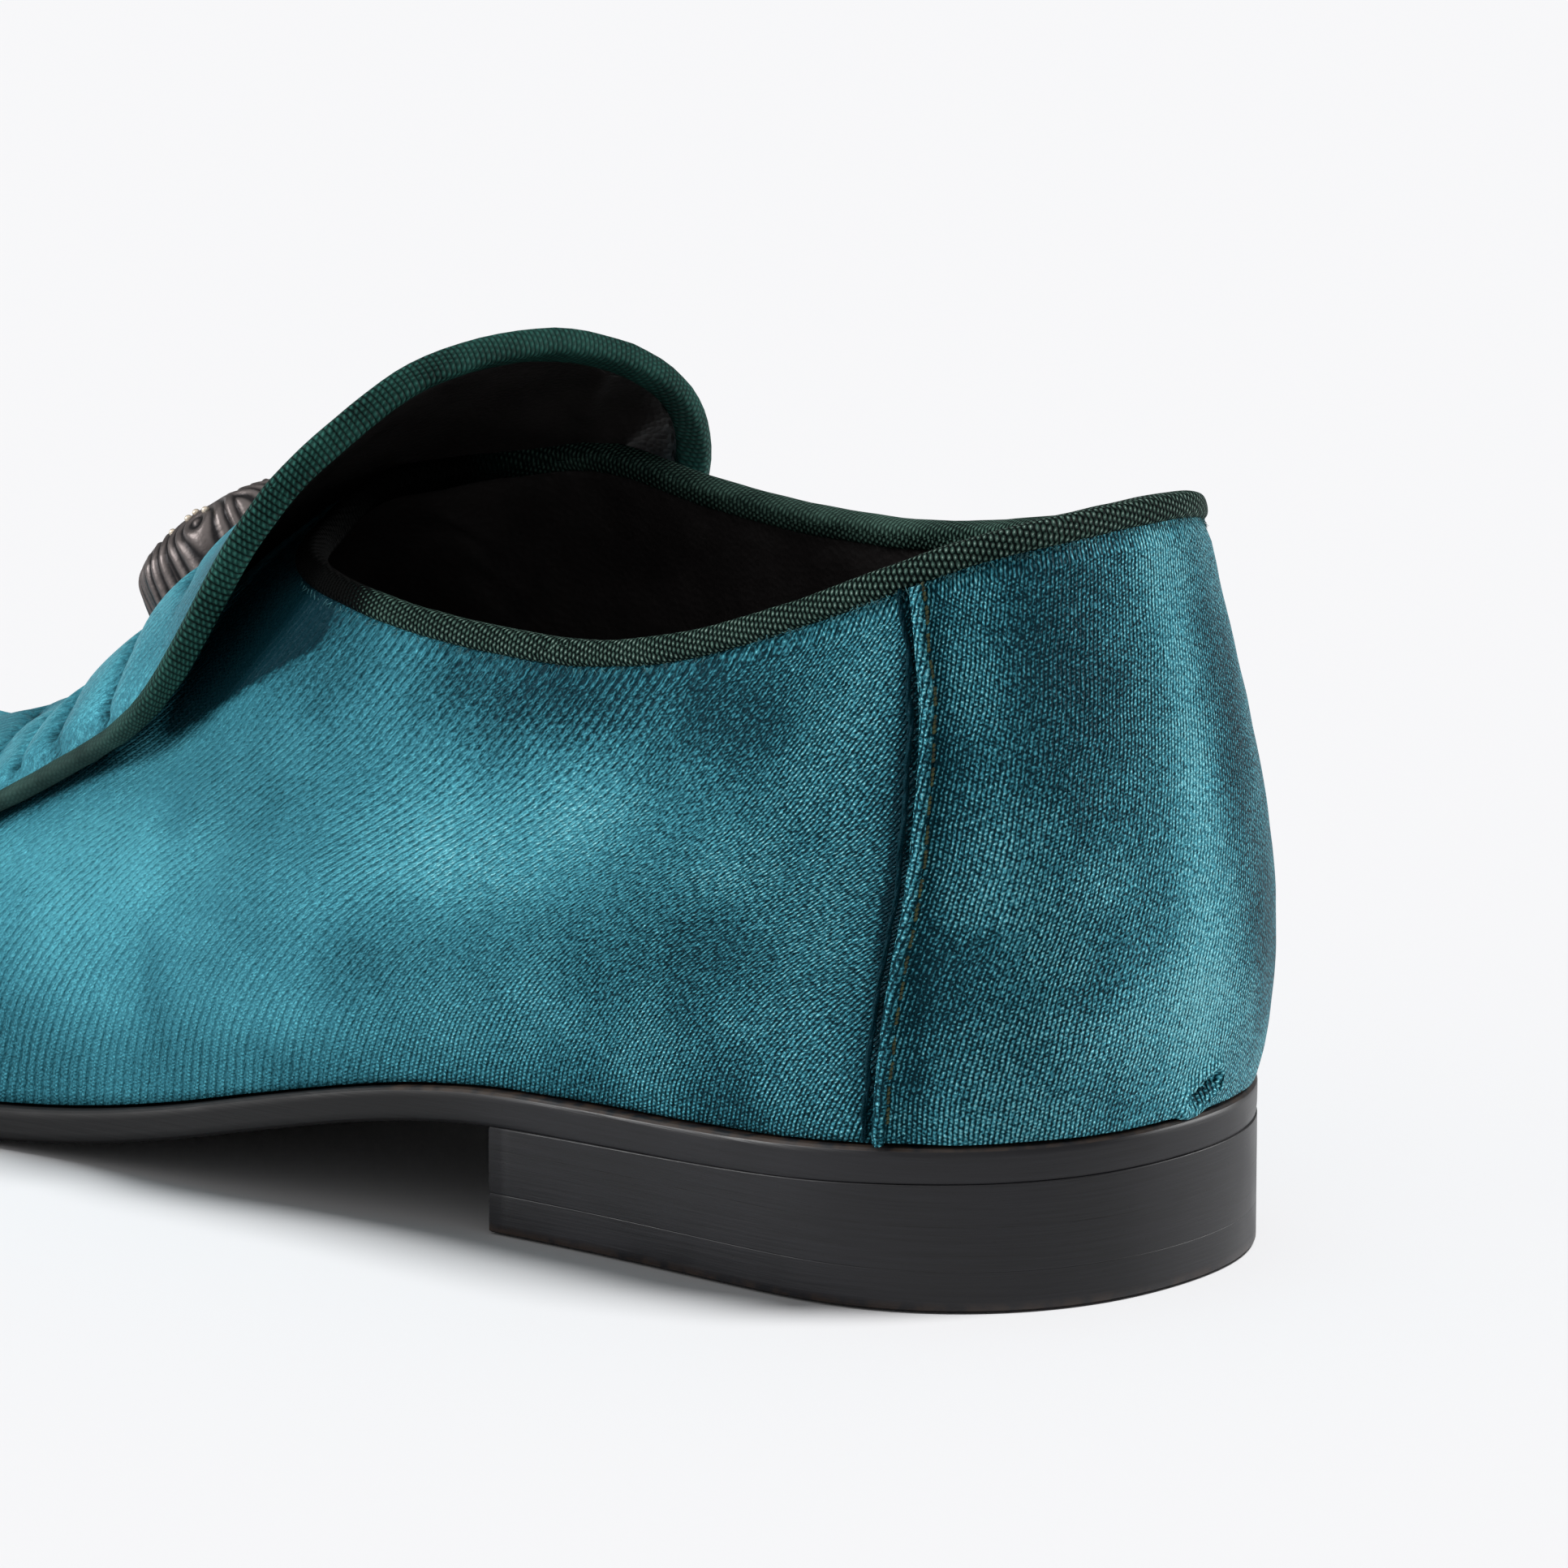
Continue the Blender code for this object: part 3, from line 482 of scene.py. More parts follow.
def makeLining():
    g = Graph("liningLeather")
    place = g.place()
    grain = g.add("ShaderNodeTexVoronoi", None, {"Vector": place, "Scale": leather["pores"]})
    wrinkle = g.noise(place, leather["wrinkles"], 4.0, 0.6)
    g.set(Base_Color=g.mix(wrinkle, leather["dark"], leather["light"]),
          Roughness=g.ramp(wrinkle, 0.3, 0.7, 0.42, 0.58), Specular_IOR_Level=0.5,
          Normal=g.bump(grain * 0.4 + wrinkle, 0.00025, 0.7))
    return g.material


lining = makeLining()


# Upper

upper = {
    # soft folds: length round, height, direction in degrees, half length, half width, depth
    "folds": (
        (0.0845, 0.0227, 74, 0.0075, 0.0016, 0.00036),
        (0.0790, 0.0226, 118, 0.0050, 0.0013, 0.00026),
        (0.0740, 0.0400, 128, 0.0180, 0.0040, 0.00055),
        (0.0600, 0.0470, 140, 0.0160, 0.0040, 0.00040),
        (0.0480, 0.0330, 150, 0.0150, 0.0045, 0.00035),
        (0.0930, 0.0300, 100, 0.0120, 0.0045, 0.00040),
        (0.1180, 0.0200, 95, 0.0090, 0.0040, 0.00045),
        (0.1380, 0.0170, 85, 0.0080, 0.0040, 0.00045),
        (0.0280, 0.0540, 165, 0.0150, 0.0035, 0.00030),
        (0.0060, 0.0450, 100, 0.0150, 0.0050, 0.00030),
    ),
    # painted sheen and painted shade: bright bands where the side lights fall, shade under the collar and in
    # the seam's gap
    "napAndPaintedLight": (
        (0.090, 0.0335, 172, 0.034, 0.0075, 0.30), (0.043, 0.0405, 174, 0.034, 0.0080, 0.30),
        (0.098, 0.0215, 175, 0.017, 0.0080, 0.16), (0.068, 0.0480, 160, 0.014, 0.0050, 0.14),
        (0.028, 0.0600, 176, 0.026, 0.0050, -0.15), (0.000, 0.0665, 165, 0.014, 0.0050, -0.08),
        (-0.0157, 0.0450, 92, 0.040, 0.0030, -0.14), (0.060, 0.0140, 179, 0.046, 0.0040, -0.12),
        (0.056, 0.0270, 172, 0.012, 0.0055, -0.10), (0.083, 0.0220, 76, 0.0075, 0.0018, -0.12),
        (0.020, 0.0290, 170, 0.020, 0.0080, -0.08), (0.112, 0.0160, 170, 0.020, 0.0050, -0.12),
        (0.132, 0.0230, 165, 0.018, 0.0050, 0.20), (0.170, 0.0180, 175, 0.022, 0.0050, 0.16),
        (0.026, 0.0440, 178, 0.018, 0.0090, 0.20), (0.020, 0.0510, 178, 0.020, 0.0060, 0.14),
        (0.064, 0.0630, 150, 0.012, 0.0026, -0.12), (0.056, 0.0230, 175, 0.040, 0.0090, 0.20),
        (0.016, 0.0250, 176, 0.018, 0.0080, 0.14), (-0.0161, 0.0450, 92, 0.045, 0.0008, -1.20),
        (0.052, 0.0400, 178, 0.010, 0.0060, -0.10), (0.066, 0.0420, 172, 0.012, 0.0080, -0.10),
    ),
    "waviness": 0.00030, "crumple": 0.00016,
    "innerShare": 0.8, "innerShift": 0.004,  # the inner side repeats the strokes weaker and the folds shifted
    "tuckReach": 0.0034, "tuckShare": 0.7,  # how far the cloth's rim goes into the collar's tape
    "tapeShade": 0.45, "tapeReach": 0.0020, "tapeSoft": 0.0008,  # shade close to the tongue's tape
    # the painted shadow that the tongue casts, a dark wedge behind that tape: where it starts, the height of
    # its lower edge at the bend, how fast that edge falls towards the toe, where it ends, and how soft these
    # three edges are
    "wedgeShade": 1.9, "wedgeStart": 0.0635, "wedgeFoot": 0.0594, "wedgeBend": 0.0655,
    "wedgeFall": 0.592, "wedgeEnd": 0.092, "startSoft": 0.0040, "footSoft": 0.0034, "endSoft": 0.006,
}


def foldDepth(folds, length, height):
    depth = 0.0
    for place, level, turn, long, wide, deep in folds:
        run, off = alongStroke(length, height, place, level, turn)
        if abs(run) < 3 * long and abs(off) < 4 * wide:
            depth -= deep * bell(off, wide) * bell(run, long)
            depth += deep * 0.6 * bell(off - wide * 1.6, wide) * bell(run, long)
    return depth


def makeUpper():
    work = smoothCopy("upper", 2)
    clothUv(work)
    paintNapAndLight(work, upper["napAndPaintedLight"], upper["innerShare"])
    napAndLight = work.verts.layers.float["napAndPaintedLight"]
    for vertex in work.verts:
        x, y, z = vertex.co
        # painted contact shade beside the tongue's tape
        _, _, distance = tongueTree.find(vertex.co)
        beyond = max(distance - upper["tapeReach"], 0.0)
        vertex[napAndLight] -= upper["tapeShade"] * bell(beyond, upper["tapeSoft"])
        # painted shadow that the tongue casts on the outer quarter
        if x < midline:
            inside = stepUp((y - upper["wedgeStart"]) / upper["startSoft"])
            foot = upper["wedgeFoot"] - upper["wedgeFall"] * (y - upper["wedgeBend"])
            above = stepUp((z - foot) / upper["footSoft"])
            behind = stepUp((upper["wedgeEnd"] - y) / upper["endSoft"])
            vertex[napAndLight] -= upper["wedgeShade"] * inside * above * behind
    moves = {}
    for vertex in work.verts:
        if isOutside(vertex.co, vertex.normal):
            outer = vertex.co.x < midline
            length = wrapLength(vertex.co, outer)
            if not outer:
                length = -2 * quarterTurn - length + upper["innerShift"]
            push = foldDepth(upper["folds"], length, vertex.co.z)
            push += upper["waviness"] * noise.noise(vertex.co * 45)
            push += upper["crumple"] * noise.noise(vertex.co * 150)
            held = min(1.0, max(0.0, (vertex.co.z - 0.010) / 0.010))  # flat along the sole
            moves[vertex] = vertex.normal * push * held
    for vertex, move in moves.items():
        vertex.co += move
    for vertex in work.verts:
        vertex.co = raiseThroat(vertex.co)
    tuckUnder(work, collarTree, upper["tuckReach"], upper["tuckShare"])
    for face in work.faces:
        face.material_index = 0 if isOutside(face.calc_center_median(), face.normal) else 1
    finishPiece(work, "velvetUpper", [makeVelvet("velvetQuarter"), lining], ["upper"])


makeUpper()
print("upper dressed")


# Heel counter with its folded front edge and its row of stitches

counter = {
    "shade": 0.045, "rib": 0.00052, "gloss": 0.05, "seamAngle": 53.5,
    "foldWidth": 0.0014, "foldHeight": 0.00062,
    "lead": 0.00145, "leadLess": 0.0004,  # how far the front edge comes forward, and less at the collar
    "lean": 0.25,  # share of the quarters' slanting ribs
    "tuckReach": 0.0036, "tuckShare": 0.7,
    "waviness": 0.00018, "crumple": 0.00010, "fuzz": 0.00022, "fineFuzz": 0.00012,
    # painted shade on the cut edge deep in the seam
    "hiddenShade": -1.6,  # the cut edge deep in the seam
    "stitch": 0.0028, "stitchLength": 0.0020, "stitchRadius": 0.00021, "stitchInset": 0.00158,
    # painted sheen and shade: bright bands where the right light falls on the back, dark in the pucker, in the
    # seam's gap and beside the stitches
    "napAndPaintedLight": (
        (-0.0515, 0.0600, 90, 0.030, 0.0046, 0.62), (-0.0480, 0.0310, 90, 0.014, 0.0075, 0.34),
        (-0.0205, 0.0600, 90, 0.022, 0.0036, -0.26), (-0.0350, 0.0600, 90, 0.012, 0.0050, -0.08),
        (-0.0270, 0.0450, 84, 0.016, 0.0030, 0.10), (-0.0620, 0.0500, 90, 0.040, 0.0050, -0.05),
        (-0.0420, 0.0300, 82, 0.016, 0.0034, 0.22), (-0.0800, 0.0400, 90, 0.030, 0.0060, 0.20),
        (-0.0529, 0.0206, 155, 0.0016, 0.0005, -2.2), (-0.0192, 0.0450, 92, 0.045, 0.0012, -0.26),
    ),
    # the pucker low on the heel's back: its two ends, its depth and the lip beside it
    "pucker": (Vector((0.0013, -0.0322, 0.0196)), Vector((0.0048, -0.0322, 0.0214))),
    "puckerDepth": 0.0013, "puckerWidth": 0.0008, "lipHeight": 0.0006, "lipPlace": 0.0016,
}


def frontEdge(work, side):
    # points and normals up the counter's front edge, from the sole to the collar
    found = []
    for vertex in work.verts:
        x, y, z = vertex.co
        back = Vector((x, y, 0)).normalized()
        turned = math.degrees(math.atan2(abs(x), -y)) > counter["seamAngle"]
        if x * side > 0 and turned and vertex.normal.dot(back) > 0:
            found.append((z, vertex.co.copy(), back))
    found.sort(key=lambda item: item[0])
    return smoothPath([item[1] for item in found], 10), smoothPath([item[2] for item in found], 10)


def inwardFrom(path, backs, i):
    # along the shoe's face, from the counter's front edge towards the heel's back
    along = (path[min(i + 1, len(path) - 1)] - path[max(i - 1, 0)]).normalized()
    inward = along.cross(backs[i]).normalized()
    return -inward if inward.y > 0 else inward


def makeCounter():
    source = mergedCopy("heel_counter")
    seams = [frontEdge(source, side) for side in (-1, 1)]
    source.free()
    work = smoothCopy("heel_counter", 3)
    for path, backs in seams:
        tree = pathTree(path)
        ways = [inwardFrom(path, backs, i) for i in range(len(path))]
        leads = [counter["lead"] - counter["leadLess"] * stepUp((point.z - 0.066) / 0.010) for point in path]
        for vertex in work.verts:
            _, i, distance = tree.find(vertex.co)
            vertex.co -= ways[i] * leads[i] * (1 - stepUp(distance / 0.009))
        for i, (way, lead) in enumerate(zip(ways, leads)):
            path[i] = path[i] - way * lead
    work.normal_update()
    clothUv(work, counter["lean"])
    paintNapAndLight(work, counter["napAndPaintedLight"])
    surface = BVHTree.FromBMesh(work)
    first, last = counter["pucker"]
    run = last - first
    for vertex in work.verts:
        if isOutside(vertex.co, vertex.normal):
            push = counter["waviness"] * noise.noise(vertex.co * 60)
            push += counter["crumple"] * noise.noise(vertex.co * 260)
            share = min(max((vertex.co - first).dot(run) / run.length_squared, 0.0), 1.0)
            gap = vertex.co - first - run * share
            push -= counter["puckerDepth"] * bell(gap.length, counter["puckerWidth"])
            push += counter["lipHeight"] * bell(gap.length - counter["lipPlace"], counter["puckerWidth"])
            vertex.co += vertex.normal * push
    tuckUnder(work, collarTree, counter["tuckReach"], counter["tuckShare"])
    # the counter's velvet painted a little lighter
    cloth = makeVelvet("velvetCounter", counter["shade"], 1.05, counter["rib"], counter["gloss"], 1.15)
    finishPiece(work, "velvetCounter", [cloth], ["heel_counter"])

    trim, thread = bmesh.new(), bmesh.new()
    hidden = set()
    half, tall = counter["foldWidth"] / 2, counter["foldHeight"]
    section = [(half * math.cos(t), tall * math.sin(t)) for t in (math.tau * k / 12 for k in range(12))]
    thin = [(a * 0.42, b * 0.8) for a, b in section]
    for path, backs in seams:
        rows = {"fold": [], "edge": [], "stitch": []}
        normals = []
        for i, (point, back) in enumerate(zip(path, backs)):
            inward = inwardFrom(path, backs, i)
            wander = inward * 0.00022 * noise.noise(point * 210)
            swell = 0.00014 * noise.noise(point * 330)
            crest = point + inward * (half + 0.0001)
            hit = surface.find_nearest(point + inward * counter["stitchInset"])[0]
            rows["fold"].append(crest + wander + back * swell)
            rows["edge"].append(point - inward * 0.0010 - back * 0.0009 - wander * 1.5)
            rows["stitch"].append(hit + wander)
            normals.append(back)
        sweepBand(trim, rows["fold"], normals, section)
        before = len(trim.verts)
        sweepBand(trim, rows["edge"], normals, thin)
        hidden |= set(range(before, len(trim.verts)))
        addStitches(thread, rows["stitch"], normals, counter["stitch"], counter["stitchLength"],
                    counter["stitchRadius"], 0.7, 0.35, 4)
    bmesh.ops.recalc_face_normals(trim, faces=trim.faces[:])
    clothUv(trim, counter["lean"])
    for vertex in trim.verts:
        fuzz = counter["fuzz"] * noise.noise(vertex.co * 900)
        fuzz += counter["fineFuzz"] * noise.noise(vertex.co * 2400)
        vertex.co += vertex.normal * fuzz
    paintNapAndLight(trim, ())
    napAndLight = trim.verts.layers.float["napAndPaintedLight"]
    # the cut edge deep in the seam painted dark as shade
    for i, vertex in enumerate(trim.verts):
        if i in hidden:
            vertex[napAndLight] = counter["hiddenShade"]
    # the fold's velvet painted lighter than the counter's
    finishPiece(trim, "counterFold", [makeVelvet("velvetFold", 0.10, 0.85, None, 0.05, 1.3)])
    olive = makePlain("oliveThread", fromScreen(22, 26, 14), fromScreen(72, 80, 44), 0.75, 2600)
    finishPiece(thread, "counterStitches", [olive])


makeCounter()
print("heel counter dressed")


# Apron and tongue

apron = {
    "from": 0.088, "pitch": 0.0084, "slant": 0.58, "pillow": 0.0019, "channel": 0.0007, "sink": 0.0010,
    "wander": 0.0040, "waviness": 0.0003, "pillowPaintedLight": 0.16, "channelShade": 0.75,
    "lean": 0.8, "tuckReach": 0.0034, "tuckShare": 0.65,
    # folds in the tongue's leather lining: two ends, width, height
    "liningFolds": (
        ((0.0172, 0.0660, 0.0845), (0.0222, 0.0735, 0.0780), 0.0012, 0.0006),
        ((0.0275, 0.0675, 0.0785), (0.0262, 0.0745, 0.0738), 0.0016, 0.0006),
        ((0.0100, 0.0710, 0.0845), (0.0165, 0.0810, 0.0760), 0.0020, 0.0004),
    ),
    "napAndPaintedLight": ((0.105, 0.045, 150, 0.03, 0.01, 0.05),),
    "stitch": 0.0024, "stitchLength": 0.0017, "stitchRadius": 0.00017, "stitchInset": 0.0034,
}


def makeApron():
    work = smoothCopy("apron_tongue", 3)
    clothUv(work, apron["lean"])
    paintNapAndLight(work, apron["napAndPaintedLight"])
    napAndLight = work.verts.layers.float["napAndPaintedLight"]
    moves = {}
    for vertex in work.verts:
        place, normal = vertex.co.copy(), vertex.normal.copy()
        if isOutside(place, normal):
            _, _, distance = tongueTree.find(place)
            ahead = stepUp((place.y - apron["from"]) / 0.012)
            hold = stepUp((distance - 0.0016) / 0.0030)
            slanted = place.y + abs(place.x - ridgeOffset) * apron["slant"]
            phase = (slanted + apron["wander"] * noise.noise(place * 50)) / apron["pitch"]
            groove = bell((phase - round(phase)) * apron["pitch"], apron["channel"])
            puff = 0.5 * abs(math.sin(math.pi * phase)) ** 0.6 + 0.5 * (1 - groove)
            push = (apron["pillow"] * puff - 0.0006) * ahead * hold
            push -= apron["sink"] * stepUp((place.y - 0.112) / 0.012) * hold
            push += apron["waviness"] * noise.noise(place * 90) * hold
            # painted highlight on the puffed pillows and painted shade in the channels between them
            vertex[napAndLight] += (apron["pillowPaintedLight"] - apron["channelShade"] * groove) * ahead * hold
            moves[vertex] = normal * push
        elif place.y < 0.100:
            push = 0.00012 * noise.noise(place * 120)
            for low, high, width, height in apron["liningFolds"]:
                first, run = Vector(low), Vector(high) - Vector(low)
                share = (place - first).dot(run) / run.length_squared
                gap = place - first - run * min(max(share, 0.0), 1.0)
                push += height * bell(gap.length, width)
            moves[vertex] = normal * push
    for vertex, move in moves.items():
        vertex.co += move
    tuckUnder(work, tongueTree, apron["tuckReach"], apron["tuckShare"])
    for face in work.faces:
        face.material_index = 0 if isOutside(face.calc_center_median(), face.normal) else 1
    surface = BVHTree.FromBMesh(work)
    # the apron's velvet painted a little lighter
    cloth = makeVelvet("velvetApron", 0.09, 0.7, None, 0.0, 1.2)
    finishPiece(work, "velvetApronTongue", [cloth, lining], ["apron_tongue"])

    # stitches through the lining, from the tape a little towards the tongue's hollow
    thread = bmesh.new()
    path, normals = [], []
    for point in tonguePath:
        if point.z > 0.058 and point.y < 0.094:
            inward = (Vector((0.006, point.y + 0.010, 0.062)) - point).normalized()
            hit, normal, _, _ = surface.find_nearest(point + inward * apron["stitchInset"])
            path.append(hit)
            normals.append(normal if normal.z < 0.2 else -normal)
    start = max(range(len(path)), key=lambda i: (path[i] - path[i - 1]).length)
    path, normals = path[start:] + path[:start], normals[start:] + normals[:start]
    addStitches(thread, path, normals, apron["stitch"], apron["stitchLength"],
                apron["stitchRadius"], 0.0, 0.2)
    dark = makePlain("darkThread", (0.006, 0.006, 0.006), (0.020, 0.018, 0.016), 0.6, 2600)
    finishPiece(thread, "tongueStitches", [dark])


makeApron()
print("apron and tongue dressed")


# Tapes of ribbed grosgrain

tape = {
    "dark": fromScreen(6, 22, 20), "shadow": (0.0008, 0.0011, 0.0011),
    "collar": fromScreen(88, 122, 110), "tongue": fromScreen(54, 110, 100),
    # painted glints on the brightest knots of the weave
    "paintedGlint": fromScreen(160, 184, 174),
    "plainDark": fromScreen(22, 36, 34), "plain": fromScreen(66, 92, 86),
    "knot": 0.00070, "swell": 0.00022, "uneven": 0.00012, "radius": 0.0016,
    "slimmer": 0.32, "slimFrom": 0.080, "slimReach": 0.020,  # the tongue's tape along the apron
}


def makeTapeCloth(name, bright, rib, lift=0.0, crisp=1.0):
    g = Graph(name)
    along, around = g.uv()
    flat = g.vector(along, around)
    x, y, _ = g.axes(g.place())
    near = g.ramp(x * 0.73 + y * 0.65, 0.0, 0.045, 1.0, 0.25) * crisp  # softer away from the sharp near side
    ahead = g.ramp(y, 0.080, 0.100)  # plainer and greyer along the apron
    drift = (g.noise(flat, 200, 2.0) - 0.5) * 0.0005
    phase = (along + drift) / rib
    row = g.whole(phase)
    bow = g.size(g.sine(phase * math.pi)) ** 0.7
    knots = around / tape["knot"] + row * 0.37 + phase * 0.35 + g.noise(flat, 900, 1.0) * 0.4
    bead = g.sine(knots * (2 * math.pi)) * 0.5 + 0.5
    weave = bow * (bead * 0.62 + 0.38)
    wear = g.noise(flat, 140, 3.0)
    # the weave painted with highlights on its knots and shade in the gaps between them
    tone = (weave - 0.5) * near * (1.0 - ahead * 0.6) + (g.noise(flat, 4200, 1.0) - 0.5) * near * 0.6
    tone = tone + (wear - 0.5) * 0.5 + g.painted("napAndPaintedLight") + 0.45 + lift
    colour = g.mix(g.ramp(tone, 0.15, 0.95), tape["dark"], bright)
    colour = g.mix(ahead * 0.85, colour, g.mix(g.ramp(tone, 0.15, 0.95), tape["plainDark"], tape["plain"]))
    # painted glints where the tone is highest
    colour = g.mix(g.ramp(tone, 1.05, 1.60), colour, tape["paintedGlint"])
    g.set(Base_Color=g.mix(g.ramp(tone, -0.55, 0.05), tape["shadow"], colour), Roughness=0.62,
          Normal=g.bump(weave * near * (1.0 - ahead * 0.8), 0.0007, 1.0), Specular_IOR_Level=0.05)
    return g.material


def tapeUv(work, path):
    # length along the tape and the way round it, from the nearest place on its middle line
    layer = work.loops.layers.uv.new("cloth")
    starts = np.array([tuple(p) for p in path])
    runs = np.roll(starts, -1, 0) - starts
    lengths = np.linalg.norm(runs, axis=1)
    gone = np.concatenate([[0.0], np.cumsum(lengths)[:-1]])
    total, girth = float(lengths.sum()), math.tau * tape["radius"]
    middle = Vector(starts.mean(0))
    values = {}
    for vertex in work.verts:
        offset = np.array(vertex.co) - starts
        share = np.clip((offset * runs).sum(1) / lengths ** 2, 0, 1)
        gap = np.linalg.norm(offset - runs * share[:, None], axis=1)
        i = int(gap.argmin())
        along = Vector(runs[i]).normalized()
        foot = Vector(starts[i] + runs[i] * share[i])
        out = foot - middle
        out = (out - along * out.dot(along)).normalized()
        way = vertex.co - foot
        turn = math.atan2(way.dot(along.cross(out)), way.dot(out))
        values[vertex] = (float(gone[i] + share[i] * lengths[i]), turn * girth / math.tau)
    for face in work.faces:
        base = values[face.loops[0].vert]
        for loop in face.loops:
            u, v = values[loop.vert]
            u += total * round((base[0] - u) / total)
            loop[layer].uv = (u, v + girth * round((base[1] - v) / girth))


def makeTapes():
    for node, name, path, bright, rib, lift, crisp in (
        ("topline_binding", "collarTape", collarPath, tape["collar"], 0.00056, 0.02, 1.9),
        ("tongue_binding", "tongueTape", tonguePath, tape["tongue"], 0.00072, 0.0, 1.1),
    ):
        work = smoothCopy(node, 2, 75)
        napAndLight = work.verts.layers.float.new("napAndPaintedLight")
        for vertex in work.verts:
            if node == "topline_binding":
                vertex.co = raiseThroat(vertex.co)
                front = stepUp((vertex.co.y - 0.056) / 0.012)  # its front lies in the tongue's shadow
                # painted shadow of the tongue over the tape's front
                vertex[napAndLight] = -front * (2.4 - 2.3 * stepUp((vertex.co.x - 0.006) / 0.016))
            else:
                foot = tongueTree.find(vertex.co)[0]
                slim = tape["slimmer"] * stepUp((vertex.co.y - tape["slimFrom"]) / tape["slimReach"])
                vertex.co = foot + (vertex.co - foot) * (1 - slim)
        work.normal_update()
        tapeUv(work, path)
        for vertex in work.verts:
            vertex.co += vertex.normal * (tape["swell"] + tape["uneven"] * noise.noise(vertex.co * 240))
        weave = makeTapeCloth(name + "Weave", bright, rib, lift, crisp)
        finishPiece(work, name, [weave], [node])


makeTapes()
print("tapes dressed")


# Frayed pile and thread ends that stand out below the collar's tape

fray = {"count": 620, "length": 0.0011, "radius": 0.00005}


def makeFray():
    work = bmesh.new()
    reach = len(collarPath)
    for _ in range(fray["count"]):
        i = chance.randrange(reach)
        point = collarPath[i]
        along = (collarPath[(i + 1) % reach] - collarPath[i - 1]).normalized()
        out = Vector((point.x - midline, min(point.y, 0.0), 0.0)).normalized()
        down = along.cross(out)
        down = -down if down.z > 0 else down
        way = (down * 0.5 + out * chance.uniform(0.15, 0.7) + along * chance.uniform(-1.0, 1.0)).normalized()
        root = point + out * 0.0016 + down * chance.uniform(0.0011, 0.0016)
        turn = way.to_track_quat("Z", "Y").to_matrix().to_4x4()
        size = fray["length"] * chance.uniform(0.4, 1.0)
        place = Matrix.Translation(root + way * size * 0.3) @ turn
        bmesh.ops.create_cone(work, cap_ends=True, segments=4, radius1=fray["radius"],
                              radius2=fray["radius"] / 4, depth=size, matrix=place)
    pile = makePlain("frayedPile", fromScreen(20, 60, 66), fromScreen(70, 130, 136), 0.8, 900)
    finishPiece(work, "collarFray", [pile])


makeFray()
print("fray added")


# Sole, heel and insole

sole = {
    "edge": fromScreen(26, 26, 30), "dark": fromScreen(15, 15, 18), "groove": (0.003, 0.003, 0.003),
    "worn": fromScreen(80, 62, 48), "waist": (0.0015, 0.0016, 0.0020), "waistFrom": 0.028, "waistTo": 0.050,
    "gap": 0.00032, "rounding": 0.0002, "breast": 0.0376,
}


def makeSoleLeather(name, lines, gloss):
    # lines: heights, widths and strengths of faint layer lines on the edge
    g = Graph(name)
    place = g.place()
    x, y, z = g.axes(place)
    streaks = g.noise(g.vector(x * 70.0, y * 70.0, z * 2400.0), 1.0, 3.0, 0.6)
    smears = g.noise(place, 70, 3.0)
    pits = g.ramp(g.noise(place, 1300, 2.0), 0.68, 0.78)
    groove = pits * 0.4
    for height, width, depth in lines:
        broken = g.ramp(g.noise(place, 160, 2.0), 0.42, 0.58)
        away = g.size(z - height + (streaks - 0.5) * 0.0002)
        groove = groove + g.ramp(away, 0.0, width, depth, 0.0) * broken
    tone = g.ramp(streaks * 0.5 + smears * 0.6, 0.35, 0.75)
    colour = g.mix(g.ramp(groove, 0.0, 1.0), g.mix(tone, sole["dark"], sole["edge"]), sole["groove"])
    waist = g.ramp(y, sole["waistFrom"], sole["waistTo"])  # darker and duller in front of the heel
    colour = g.mix(waist * 0.85, colour, sole["waist"])
    worn = g.painted("worn") * g.ramp(g.noise(place, 500, 3.0), 0.35, 0.62)
    g.set(Base_Color=g.mix(worn, colour, sole["worn"]),
          Roughness=g.ramp(smears, 0.3, 0.7, gloss - 0.05, gloss + 0.1) + waist * 0.2,
          Normal=g.bump(streaks * 0.35 - groove * 0.15, 0.00025, 0.5), Specular_IOR_Level=0.34)
    return g.material


def squareRim(work, up):
    # layers of the heel meet flush: the rounded rim is pushed out and up to the next layer
    for vertex in work.verts:
        if vertex.normal.z * up > 0.6 and vertex.co.y < sole["breast"]:
            level = Vector((vertex.normal.x, vertex.normal.y, 0))
            if level.length > 0.2:
                vertex.co += level.normalized() * sole["rounding"]
            vertex.co.z += up * sole["gap"] / 2


def makeSole():
    for node, name, slot, lines, gloss, shape in (
        ("outsole", "soleLeather", "sole_leather", (), 0.36, lambda work: squareRim(work, -1)),
        ("heel_stack", "heelStack", "sole_leather", ((0.0092, 0.00012, 0.6), (0.0136, 0.00012, 0.6)), 0.38,
         lambda work: (squareRim(work, 1), squareRim(work, -1))),
        ("heel_top_piece", "heelTopPiece", "top_piece_rubber", (), 0.40, lambda work: squareRim(work, 1)),
    ):
        work = smoothCopy(node, 2, 25, shape, 1.0)
        layer = work.verts.layers.float.new("worn")
        for vertex in work.verts:
            level = Vector((vertex.normal.x, vertex.normal.y, 0)).length
            if node == "outsole":
                vertex[layer] = 0.4 if vertex.normal.z > 0.5 and level > 0.2 and vertex.co.y < 0.05 else 0.0
            if node == "heel_top_piece":
                vertex[layer] = 0.3 * bell(vertex.co.z - 0.0002, 0.0003) * level
        finishPiece(work, name, [makeSoleLeather(name + "Finish", lines, gloss)], [node])
    finishPiece(smoothCopy("insole", 1, 25), "insoleSock", [lining], ["insole"])


makeSole()
print("sole and heel dressed")


# Ornament: a plain oval dome of dark metal, chased with rows of arcs and edged with beads

